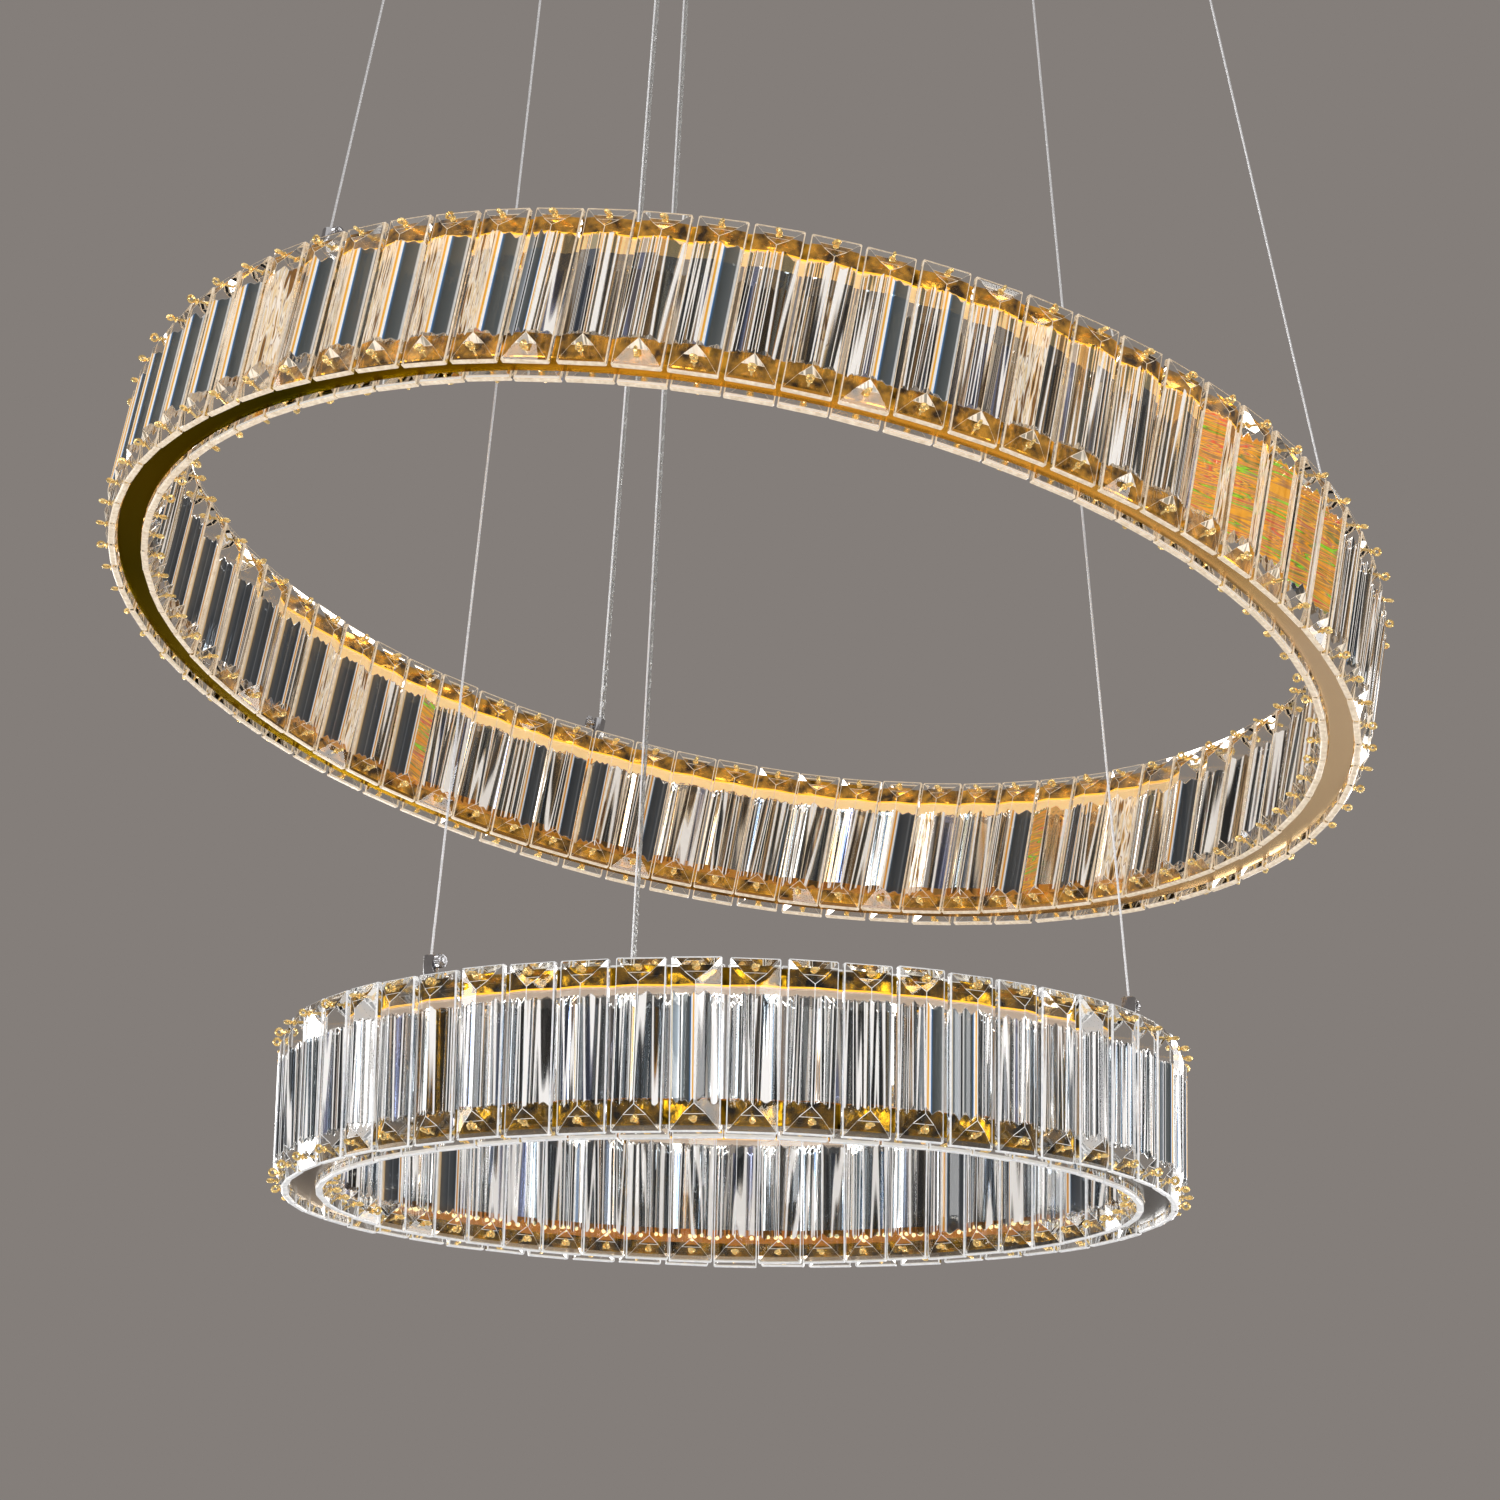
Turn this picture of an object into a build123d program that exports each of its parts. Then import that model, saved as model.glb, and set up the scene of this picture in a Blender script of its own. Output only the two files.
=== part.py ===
from build123d import *
from dataclasses import dataclass
import math
import os

# Two rings of bar crystals hang level and tilted under a round ceiling canopy.
# Sizes are in millimetres and angles in degrees. The origin is the centre of the ceiling face, and +Z is up.

# Clearances
seat_gap = 0.3
running_gap = 0.05
overrun = 2.0

# Height of the rings below the ceiling, and the tilt of the upper one
upper_ring_drop = 865.7
lower_ring_drop = 1116.0
upper_ring_tilt = 12.65
upper_ring_low_side = 44.1

# Rings: two bands, one above the other, that carry the crystals between them
upper_middle_radius = 289.0
lower_middle_radius = 196.0
upper_crystal_count = 78
lower_crystal_count = 53
upper_first_crystal = -1.55
lower_first_crystal = 0.86
band_width = 12.0
band_height = 10.5
post_radius = 2.5
light_strip_width = 8.0
light_strip_thickness = 0.8

# Crystal: a bar with a flat back, a thin girdle, a long ridge and stepped ends
crystal_height = 74.4
crystal_width = 21.6
crystal_girdle = 3.0
crystal_depth = 7.5
crystal_end_overhang = 3.7
crystal_first_step = 7.0
crystal_step_length = 4.2
crystal_step_width = 9.8

# Hangers on the upper band: a barrel with a thumb screw that clamps the cable
upper_hanger_angles = (-132.8, 106.3, 0.9)
lower_hanger_angles = (-132.0, 106.25, -26.0)
hanger_radius = 3.25
hanger_height = 14.0
screw_shank_radius = 1.5
screw_head_radius = 3.15
screw_head_thickness = 2.6
screw_neck = 1.2
screw_tip_room = 1.0

# Ceiling canopy
canopy_radius = 140.0
canopy_height = 30.0
canopy_wall = 1.2
canopy_edge = 2.0
plate_end_inset = 40.0
plate_width = 130.0
plate_thickness = 1.5
ceiling_hole_radius = 2.6
ceiling_hole_spacing = 100.0
stud_radius = 2.0
stud_inset = 55.0
stud_hole_play = 0.4
stud_grip = 4.5
nut_radius = 4.2
nut_height = 7.0
driver_length = 150.0
driver_width = 36.0
driver_height = 20.0
driver_spacing = 84.0
terminal_length = 40.0
terminal_width = 20.0
terminal_height = 15.0

# Cable grippers under the canopy, three for each ring, set in from its edge, and the glands of the power cords
grip_angles = (-134.3, 105.7, -14.3)
upper_grip_inset = 22.6
lower_grip_inset = 49.1
gripper_radius = 5.0
gripper_height = 16.0
release_radius = 2.5
release_reach = 10.0
release_depth = 6.0
release_travel = 2.0
gland_radius = 5.0
gland_height = 8.0
gland_offset = 14.0

# Cables and cords, straight from a barrel to its gripper
cable_radius = 0.6
cable_sides = 8
cord_radius = 0.9
cord_spacing = 1.6
cord_parting_drop = 100.0
cord_sides = 8
corded_hanger = 1

# Sides of the small round pieces
turned_sides = 12
post_sides = 8

# Levels and places that the sizes above give
ring_half_height = crystal_height / 2 - crystal_end_overhang
hanger_top = ring_half_height + hanger_height
gripper_level = -canopy_height
nozzle_level = gripper_level - gripper_height - release_reach
gland_level = gripper_level - gland_height
upper_grip_radius = canopy_radius - upper_grip_inset
lower_grip_radius = canopy_radius - lower_grip_inset
plate_length = 2 * (canopy_radius - plate_end_inset)
stud_spacing = 2 * (canopy_radius - stud_inset)


@dataclass
class Ring:
    """One crystal ring, with its place under the ceiling and the angles of its hangers in its own plane."""

    name: str
    middle_radius: float
    crystal_count: int
    first_crystal: float
    hanger_angles: tuple
    grip_radius: float
    place: Location


def write(name, solids):
    """Write one node from a list of solids."""
    export_step(Compound(solids), f"parts/{name}.step")


def regular_face(sides, apothem, flat_angle):
    """A regular polygon round a circle of radius apothem, with the middle of one side at flat_angle."""
    corner_radius = apothem / math.cos(math.pi / sides)
    return RegularPolygon(corner_radius, sides, rotation=flat_angle + 180 / sides)


def hoop(sides, middle_radius, width, flat_angle, bottom, height):
    """A flat hoop of straight sides about the Z axis, from the level bottom upwards."""
    face = regular_face(sides, middle_radius + width / 2, flat_angle)
    face -= regular_face(sides, middle_radius - width / 2, flat_angle)
    return Pos(0, 0, bottom) * extrude(face, height)


def turned(sides, radius, bottom, height):
    """A post with many sides about the Z axis, from the level bottom upwards."""
    return Pos(0, 0, bottom) * extrude(RegularPolygon(radius, sides), height)


def around(angle, radius):
    """The place on a circle at one angle, with X pointing outwards."""
    return Rot(0, 0, angle) * Pos(radius, 0, 0)


def make_crystal():
    """One crystal with its back in the YZ plane and its ridge towards +X."""
    half_width = crystal_width / 2
    half_height = crystal_height / 2
    rise = crystal_depth - crystal_girdle
    step_depth = crystal_girdle + rise * (1 - crystal_step_width / crystal_width)
    step_level = half_height - crystal_first_step
    ridge_level = step_level - crystal_step_length
    roof = Polygon(
        (0, -half_width),
        (crystal_girdle, -half_width),
        (crystal_depth, 0),
        (crystal_girdle, half_width),
        (0, half_width),
        align=None,
    )
    side = Polygon(
        (0, -half_height),
        (crystal_girdle, -half_height),
        (step_depth, -step_level),
        (crystal_depth, -ridge_level),
        (crystal_depth, ridge_level),
        (step_depth, step_level),
        (crystal_girdle, half_height),
        (0, half_height),
        align=None,
    )
    long_roof = extrude(roof, crystal_height, both=True)
    wide_side = extrude(Plane.XZ * side, crystal_width, both=True)
    return (long_roof & wide_side).solid()


def crystal_rows(ring, crystal):
    """The outer and the inner row of crystals, one on each flat of the bands."""
    outer_back = ring.middle_radius + band_width / 2 + seat_gap
    inner_back = ring.middle_radius - band_width / 2 - seat_gap
    outer = []
    inner = []
    for index in range(ring.crystal_count):
        angle = ring.first_crystal + 360 / ring.crystal_count * index
        outer.append(crystal.moved(ring.place * around(angle, outer_back)))
        inner.append(crystal.moved(ring.place * around(angle, inner_back) * Rot(0, 0, 180)))
    return outer, inner


def make_hanger():
    """A barrel on the Z axis, with a blind cross hole that opens towards +Y."""
    barrel = turned(turned_sides, hanger_radius, ring_half_height, hanger_height)
    screw_level = hanger_top - screw_head_radius
    hole_length = screw_tip_room + hanger_radius + overrun
    hole = extrude(regular_face(turned_sides, screw_shank_radius + running_gap, 0), hole_length)
    return barrel - Pos(0, -screw_tip_room, screw_level) * Rot(-90, 0, 0) * hole


def make_thumb_screw():
    """A thumb screw in the cross hole of a barrel, with its head towards +Y."""
    screw_level = hanger_top - screw_head_radius
    shank = turned(turned_sides, screw_shank_radius, 0, hanger_radius + screw_neck)
    head = turned(turned_sides, screw_head_radius, hanger_radius + screw_neck, screw_head_thickness)
    return Pos(0, 0, screw_level) * Rot(-90, 0, 0) * (shank + head)


def make_ring(ring, crystal):
    """Write every node of one ring."""
    inner_level = ring_half_height - band_height
    strip_sides = ring.crystal_count // 2
    posts = []
    holes = []
    hangers = []
    for angle in ring.hanger_angles:
        spot = around(angle, ring.middle_radius)
        posts.append(ring.place * spot * turned(post_sides, post_radius, -inner_level, 2 * inner_level))
        holes.append(spot * turned(post_sides, post_radius + seat_gap, -inner_level - overrun,
                                   2 * (inner_level + overrun)))
        hangers.append(ring.place * spot * make_hanger())
    for level, name in ((inner_level, "top"), (-ring_half_height, "bottom")):
        band = hoop(ring.crystal_count, ring.middle_radius, band_width, ring.first_crystal, level, band_height)
        write(f"{ring.name}_{name}_band", [ring.place * band])
    for level, name in ((inner_level - light_strip_thickness, "top"), (-inner_level, "bottom")):
        strip = hoop(strip_sides, ring.middle_radius, light_strip_width, ring.first_crystal, level,
                     light_strip_thickness)
        strip = strip - holes
        write(f"{ring.name}_{name}_light_strip", [ring.place * strip])
    outer, inner = crystal_rows(ring, crystal)
    write(f"{ring.name}_outer_crystals", outer)
    write(f"{ring.name}_inner_crystals", inner)
    write(f"{ring.name}_posts", posts)
    write(f"{ring.name}_hangers", hangers)
    screw = make_thumb_screw()
    for index, angle in enumerate(ring.hanger_angles):
        placed = ring.place * around(angle, ring.middle_radius) * screw
        write(f"{ring.name}_thumb_screw_{index + 1}", [placed])


def make_canopy():
    """Write the ceiling plate, the cover with its fastening, and what lies inside."""
    cover = Cylinder(canopy_radius, canopy_height, align=(Align.CENTER, Align.CENTER, Align.MAX))
    cover = chamfer(cover.edges().group_by(Axis.Z)[0], canopy_edge)
    cover -= Cylinder(canopy_radius - canopy_wall, canopy_height - canopy_wall,
                      align=(Align.CENTER, Align.CENTER, Align.MAX))
    stud_places = [Pos(side * stud_spacing / 2, 0, 0) for side in (-1, 1)]
    stud_hole = Cylinder(stud_radius + stud_hole_play, 2 * canopy_height)
    for place in stud_places:
        cover -= place * stud_hole
    write("canopy_cover", [cover])

    plate = Box(plate_length, plate_width, plate_thickness, align=(Align.CENTER, Align.CENTER, Align.MAX))
    for side in (-1, 1):
        plate -= Pos(side * ceiling_hole_spacing / 2, 0, 0) * Cylinder(ceiling_hole_radius, 2 * plate_thickness + overrun)
    write("mounting_plate", [plate])

    hanging = (Align.CENTER, Align.CENTER, Align.MAX)
    stud_length = canopy_height + stud_grip - plate_thickness
    stud = Pos(0, 0, -plate_thickness) * Cylinder(stud_radius, stud_length, align=hanging)
    write("mount_studs", [place * stud for place in stud_places])
    nut = turned(6, nut_radius, -canopy_height - nut_height, nut_height)
    nut -= Pos(0, 0, -canopy_height) * Cylinder(stud_radius + running_gap, stud_grip + seat_gap, align=hanging)
    write("canopy_nuts", [place * nut for place in stud_places])

    driver = Pos(0, 0, -plate_thickness) * Box(driver_length, driver_width, driver_height, align=hanging)
    for side, name in ((-1, "driver_upper"), (1, "driver_lower")):
        write(name, [Pos(0, side * driver_spacing / 2, 0) * driver])
    terminal = Box(terminal_length, terminal_width, terminal_height, align=hanging)
    write("terminal_block", [Pos(0, 0, -plate_thickness) * terminal])


def make_grippers(ring):
    """Write the three cable grippers of one ring, each a body with a blind bore and a release that slides in it."""
    bore_depth = release_depth + release_travel + running_gap
    body = turned(turned_sides, gripper_radius, gripper_level - gripper_height, gripper_height)
    bore = extrude(regular_face(turned_sides, release_radius + running_gap, 0), bore_depth)
    body -= Pos(0, 0, gripper_level - gripper_height) * bore
    release = turned(turned_sides, release_radius, nozzle_level, release_reach + release_depth)
    for index, angle in enumerate(grip_angles):
        place = around(angle, ring.grip_radius)
        write(f"{ring.name}_gripper_{index + 1}", [place * body])
        write(f"{ring.name}_release_{index + 1}", [place * release])


def straight_tube(low, high, radius, sides):
    """A straight tube with flat sides between two points."""
    way = high - low
    return Plane(origin=low, z_dir=way) * extrude(RegularPolygon(radius, sides), way.length)


def make_cables(ring):
    """Write the three steel cables of one ring, from the barrels up to the grippers."""
    for index, (hanger_angle, grip_angle) in enumerate(zip(ring.hanger_angles, grip_angles)):
        low = (ring.place * around(hanger_angle, ring.middle_radius) * Pos(0, 0, hanger_top + seat_gap)).position
        high = (around(grip_angle, ring.grip_radius) * Pos(0, 0, nozzle_level - seat_gap)).position
        write(f"{ring.name}_cable_{index + 1}", [straight_tube(low, high, cable_radius, cable_sides)])


def make_power_cord(ring):
    """Write the power cord beside one cable, from the barrel up to its own gland, and return the gland."""
    hanger_angle = ring.hanger_angles[corded_hanger]
    grip = around(grip_angles[corded_hanger], ring.grip_radius)
    beside = Pos(0, -cord_spacing, 0)
    low = (ring.place * around(hanger_angle, ring.middle_radius) * beside * Pos(0, 0, hanger_top + seat_gap)).position
    nozzle = (grip * beside * Pos(0, 0, nozzle_level)).position
    share = cord_parting_drop / (nozzle.Z - low.Z)
    parting = nozzle + (low - nozzle) * share
    gland_place = grip * Pos(0, -gland_offset, 0)
    top = (gland_place * Pos(0, 0, gland_level - seat_gap)).position
    turn = (top - parting).get_angle(parting - low)
    bend_radius = 0.45 * (top - parting).length / math.tan(math.radians(turn / 2))
    path = FilletPolyline(low, parting, top, radius=bend_radius)
    section = Plane(origin=low, z_dir=parting - low) * RegularPolygon(cord_radius, cord_sides)
    cord = sweep(section, path=path)
    print(f"{ring.name} power cord: length {path.length:.1f}, bend radius {bend_radius:.0f}, "
          f"volume {cord.volume:.0f}, section times length {section.area * path.length:.0f}")
    write(f"{ring.name}_power_cord", [cord])
    gland = turned(turned_sides, gland_radius, gland_level, gland_height)
    return gland_place * gland


def main():
    os.makedirs("parts", exist_ok=True)
    upper_place = (Pos(0, 0, -upper_ring_drop) * Rot(0, 0, upper_ring_low_side)
                   * Rot(0, upper_ring_tilt, 0) * Rot(0, 0, -upper_ring_low_side))
    lower_place = Pos(0, 0, -lower_ring_drop)
    rings = (
        Ring("upper", upper_middle_radius, upper_crystal_count, upper_first_crystal, upper_hanger_angles,
             upper_grip_radius, upper_place),
        Ring("lower", lower_middle_radius, lower_crystal_count, lower_first_crystal, lower_hanger_angles,
             lower_grip_radius, lower_place),
    )
    crystal = make_crystal()
    make_canopy()
    glands = []
    for ring in rings:
        make_ring(ring, crystal)
        make_grippers(ring)
        make_cables(ring)
        glands.append(make_power_cord(ring))
    write("cord_glands", glands)


main()
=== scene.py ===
"""Looks of a pendant light: two rings of bar crystals on gold hoops, hung on steel cables from a canopy.

Everything is in metres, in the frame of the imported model. The origin is the centre of the ceiling face.
"""

import logging
import math
from dataclasses import dataclass, field, replace
from enum import Enum
from typing import Sequence

import bpy
import numpy as np
from mathutils import Matrix


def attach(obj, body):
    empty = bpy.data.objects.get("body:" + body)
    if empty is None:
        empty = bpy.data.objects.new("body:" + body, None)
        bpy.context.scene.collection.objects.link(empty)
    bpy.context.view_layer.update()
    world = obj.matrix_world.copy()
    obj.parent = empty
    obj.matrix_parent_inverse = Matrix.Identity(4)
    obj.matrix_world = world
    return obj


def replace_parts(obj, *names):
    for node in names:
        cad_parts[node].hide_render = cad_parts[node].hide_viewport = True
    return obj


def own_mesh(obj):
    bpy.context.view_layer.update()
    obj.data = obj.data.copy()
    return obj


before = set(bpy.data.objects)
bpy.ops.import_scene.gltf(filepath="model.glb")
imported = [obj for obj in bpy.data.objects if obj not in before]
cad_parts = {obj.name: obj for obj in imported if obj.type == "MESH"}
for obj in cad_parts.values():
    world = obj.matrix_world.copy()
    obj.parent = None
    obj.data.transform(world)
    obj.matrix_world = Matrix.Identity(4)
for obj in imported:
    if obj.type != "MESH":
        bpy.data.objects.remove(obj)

LOG = logging.getLogger("pendant_light")
MM = 0.001
TURN = 2 * math.pi
SEAT_GAP = 0.3 * MM
GLASS_IOR = 1.52

Material = bpy.types.Material
Socket = bpy.types.NodeSocket
Links = dict[str | int, object]
Stops = Sequence[tuple[float, str]]
Outline = Sequence[tuple[float, int, float]]


class Cut(Enum):
    """What a long facet of a bar shows, with its material number: clear glass, or a painted reflection.

    It is many lines along the bar, nothing but clear glass, one slate field between bright borders, a fan of amber
    streaks across the bar, or cream mottling. All but the clear glass are painted reflections, with colour fringes.
    """

    LINED = 0
    CLEAR = 3
    SLATE = 4
    AMBER = 5
    CREAM = 6


class Row(Enum):
    """A row of bars, with the side of the bands that it is on."""

    OUTER = 1
    INNER = -1

    @property
    def label(self) -> str:
        """The row's name in the names of pieces."""
        return self.name.lower()


class Shading(Enum):
    """How faces that meet at an edge are shaded: flat cut facets, crisp turned metal, or one soft flow."""

    CUT = None
    TURNED = 32.0
    FLOWING = 60.0


# Colours, as stops from one end of a pattern to the other

WHITE, BLACK, CLEAR_GLASS = "#ffffff", "#000000", "#fffdf8"

# Painted reflection: the tone of the upper ring's underside plate round the ring, from one turn to the next
UNDERSIDE_REFLECTION: Stops = (
    (0.0, "#382406"), (0.06, "#4a3008"), (0.13, "#201504"), (0.185, "#7a520e"), (0.225, "#e09c30"),
    (0.33, "#eeae4a"), (0.385, "#e4bc86"), (0.42, "#e4c6a8"), (0.56, "#e2c4a4"), (0.64, "#d2a068"),
    (0.75, "#b47a38"), (0.88, "#74500e"), (1.0, "#382406"))

# Painted reflections that the facets of each kind show: slate, amber with colour fringes, and cream
REFLECTION_TONES: dict[Cut, Stops] = {
    Cut.CLEAR: ((0.0, CLEAR_GLASS), (1.0, CLEAR_GLASS)),
    Cut.SLATE: (
        (0.03, "#fff0d8"), (0.05, "#f2a224"), (0.085, "#f6c34c"), (0.10, WHITE), (0.145, WHITE), (0.155, "#4d8fd6"),
        (0.175, "#3a5a78"), (0.22, "#3e4446"), (0.48, "#565c5e"), (0.50, "#cfd2d4"), (0.535, "#dcdcd8"),
        (0.55, "#1c1f22"), (0.60, "#23272b"), (0.62, "#c9ccd0"), (0.70, "#79828a"), (0.86, "#5c656d"),
        (0.90, "#e6d8be")),
    Cut.AMBER: (
        (0.30, "#e8a030"), (0.35, "#a8784c"), (0.385, "#ffb020"), (0.41, "#9c7c5c"), (0.43, "#8fe01c"),
        (0.442, "#6a6a3a"), (0.455, "#f0a028"), (0.475, "#a07858"), (0.495, "#ffa81c"), (0.515, "#b08868"),
        (0.53, "#e8502c"), (0.543, "#a87c54"), (0.56, "#ffb840"), (0.585, "#8c7050"), (0.61, "#f8a018"),
        (0.64, "#58784a"), (0.67, "#e09030")),
    Cut.CREAM: (
        (0.30, "#5c4020"), (0.36, "#dcae6c"), (0.40, "#fff4e2"), (0.465, "#fff8ee"), (0.485, "#94683a"),
        (0.505, "#fff0d6"), (0.55, "#e8c890"), (0.60, "#fff8ea"), (0.66, "#7a5428")),
}
# The slate painted reflection of the inner rows
DEEP_SLATE_REFLECTION: Stops = (
    (0.03, "#fff0d8"), (0.05, "#f2a224"), (0.085, "#e0a040"), (0.10, WHITE), (0.13, WHITE), (0.14, "#5a7896"),
    (0.17, "#33383d"), (0.40, "#44494e"), (0.44, "#686d72"), (0.48, "#3c4146"), (0.62, "#4c5156"),
    (0.78, "#5a5650"), (0.82, "#e8c48c"), (0.90, "#fff0d8"))
# Painted highlight of the lower tip facet
TIP_HIGHLIGHT_TONES: Stops = ((0.38, "#9a9284"), (0.46, "#fff6e6"), (0.60, "#fff3de"), (0.68, "#8c8270"))

# The painted highlight lines of a lined facet, opaque white: where each begins, is full, is full last and ends, and
# how clear it is
HIGHLIGHT_LINES = ((0.340, 0.348, 0.367, 0.373, "#262626"), (0.478, 0.483, 0.498, 0.503, "#1c1c1c"),
              (0.546, 0.551, 0.565, 0.570, "#2a2a2a"), (0.642, 0.648, 0.664, 0.670, "#2a2a2a"))
# How clear the facets with the other painted reflections are all over, as a grey
REFLECTION_CLEARNESS = {Cut.CLEAR: WHITE, Cut.SLATE: "#808080", Cut.AMBER: "#a0a0a0", Cut.CREAM: "#a8a8a8"}
# Width across and length along the bar of the painted reflection streaks that don't follow its lines, in millimetres
STREAKS_MM = {Cut.AMBER: (90.0, 6.5), Cut.CREAM: (2.6, 34.0)}

# Outlines of turned pieces. Each row is a step out from the piece's radius, the number of the level that it is
# measured from, and a step up from that level, both steps in millimetres.
BARREL: Outline = ((-0.3, 0, 0), (0, 0, 0.3), (0, 1, -0.7), (-0.25, 1, -0.25), (-0.8, 1, 0), (-2.25, 1, 0),
                   (-2.45, 1, -0.2))
SCREW: Outline = ((-1.7, 0, 0), (-1.7, 1, 0), (-0.3, 1, 0), (0, 1, 0.3), (0, 2, -0.3), (-0.3, 2, 0), (-1.25, 2, 0),
                  (-1.45, 2, -0.2))
GRIPPER: Outline = ((-2.45, 2, 0), (-2.45, 0, 0), (-0.8, 0, 0), (-0.2, 0, 0.25), (0, 0, 0.8), (0, 0, 9),
                    (-0.3, 0, 9.3), (-0.3, 0, 9.9), (0, 0, 10.2), (0, 1, -0.3), (-0.3, 1, 0))
RELEASE: Outline = ((-1.75, 0, 0.3), (-1.55, 0, 0), (-0.5, 0, 0), (0, 0, 0.5), (0, 0, 1.4), (-0.4, 0, 1.8),
                    (-0.4, 0, 2.4), (0, 0, 2.8), (0, 1, 0))
CHIP: Outline = ((0, 0, 0), (0, 0, 0.3), (-0.3, 0, 0.6), (-0.7, 0, 0.7))


# Nodes and finishes


def srgb(code: str) -> tuple[float, float, float, float]:
    """Turn an sRGB hex code into a linear colour.

    Args:
        code: six hex digits after a hash sign.

    Returns:
        The linear red, green and blue, with alpha 1.
    """
    parts = np.array([int(code[i:i + 2], 16) for i in (1, 3, 5)]) / 255.0
    linear = np.where(parts <= 0.04045, parts / 12.92, ((parts + 0.055) / 1.055) ** 2.4)
    return (float(linear[0]), float(linear[1]), float(linear[2]), 1.0)


def add_node(tree: bpy.types.NodeTree, kind: str, settings: dict[str, object] | None = None,
             inputs: Links | None = None) -> bpy.types.Node:
    """Add a node, set its properties, and fill or link its inputs.

    Args:
        tree: the node tree.
        kind: the node's type name.
        settings: properties of the node by name; a list of stops fills a colour ramp.
        inputs: sockets by name or number, each a number, a hex colour or an output socket to link.

    Returns:
        The new node.
    """
    node = tree.nodes.new(kind)
    for name, value in (settings or {}).items():
        if name == "stops":
            ramp = node.color_ramp
            while len(ramp.elements) < len(value):
                ramp.elements.new(0.5)
            for element, (position, code) in zip(ramp.elements, value):
                element.position = position
                element.color = srgb(code)
        else:
            setattr(node, name, value)
    for name, value in (inputs or {}).items():
        if isinstance(value, Socket):
            tree.links.new(value, node.inputs[name])
        else:
            node.inputs[name].default_value = srgb(value) if isinstance(value, str) else value
    return node


class Shader:
    """A material in the making. Most methods add a node to its tree and return that node's output."""

    def __init__(self, name: str) -> None:
        """Start an empty material.

        Args:
            name: the finish's name.
        """
        self.material = bpy.data.materials.new(name)
        self.material.use_nodes = True
        self.tree = self.material.node_tree
        self.tree.nodes.clear()

    def node(self, kind: str, settings: dict[str, object] | None = None, inputs: Links | None = None,
             output: str | int = 0) -> Socket:
        """Add a node of any kind and return one of its outputs."""
        return add_node(self.tree, kind, settings, inputs).outputs[output]

    def place(self) -> Socket:
        """A point's place in the object, in metres."""
        return self.node("ShaderNodeTexCoord", output="Object")

    def bar(self) -> Socket:
        """A point's place on its bar, in metres across and along the bar."""
        return self.node("ShaderNodeUVMap", {"uv_map": "bar"})

    def math(self, operation: str, *values: float | Socket) -> Socket:
        """One step of arithmetic on up to three values."""
        return self.node("ShaderNodeMath", {"operation": operation}, dict(enumerate(values)))

    def mix(self, share: Socket, low: str | Socket, high: str | Socket) -> Socket:
        """Mix two colours: low where the share is 0, and high where it is 1."""
        return self.node("ShaderNodeMix", {"data_type": "RGBA"}, {0: share, 6: low, 7: high}, 2)

    def ramp(self, value: Socket, stops: Stops) -> Socket:
        """Look a value up in a row of colour stops."""
        return self.node("ShaderNodeValToRGB", {"stops": stops}, {"Fac": value}, "Color")

    def fit(self, value: Socket, low: float, high: float, start: float = 0.0, end: float = 1.0) -> Socket:
        """Carry the range from start to end onto the range from low to high, and stop at its ends."""
        return self.node("ShaderNodeMapRange", inputs={
            "Value": value, "From Min": start, "From Max": end, "To Min": low, "To Max": high})

    def grain(self, size_mm: float, detail: float, seed: float | None = None) -> Socket:
        """Soft random spots of one size all through the object, or another set of them for each seed."""
        seeded = {} if seed is None else {"W": seed}
        return self.node("ShaderNodeTexNoise", {"noise_dimensions": "4D" if seeded else "3D"}, {
            "Vector": self.place(), "Scale": 1 / (size_mm * MM), "Detail": detail, **seeded})

    def streaks(self, across_mm: float, along_mm: float, detail: float, roughness: float = 0.5) -> Socket:
        """Draw soft random streaks on a bar.

        Args:
            across_mm: their width across the bar.
            along_mm: their length along it.
            detail: how many finer layers they have.
            roughness: how strong those are.

        Returns:
            A value of about 0.3 to 0.7.
        """
        scaled = self.node("ShaderNodeMapping", inputs={
            "Vector": self.bar(), "Scale": (1 / (across_mm * MM), 1 / (along_mm * MM), 1.0)})
        return self.node("ShaderNodeTexNoise", {"noise_dimensions": "2D"}, {
            "Vector": scaled, "Scale": 1.0, "Detail": detail, "Roughness": roughness})

    def bump(self, height: Socket, strength: float, depth_mm: float) -> Socket:
        """Light the surface as if it rose and fell by a depth."""
        return self.node("ShaderNodeBump", inputs={
            "Height": height, "Strength": strength, "Distance": depth_mm * MM})

    def finish(self, sockets: Links) -> Material:
        """Give the material one principled surface.

        Args:
            sockets: values and links of the principled sockets.

        Returns:
            The finished material.
        """
        surface = self.node("ShaderNodeBsdfPrincipled", inputs=sockets)
        add_node(self.tree, "ShaderNodeOutputMaterial", inputs={"Surface": surface})
        return self.material


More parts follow.
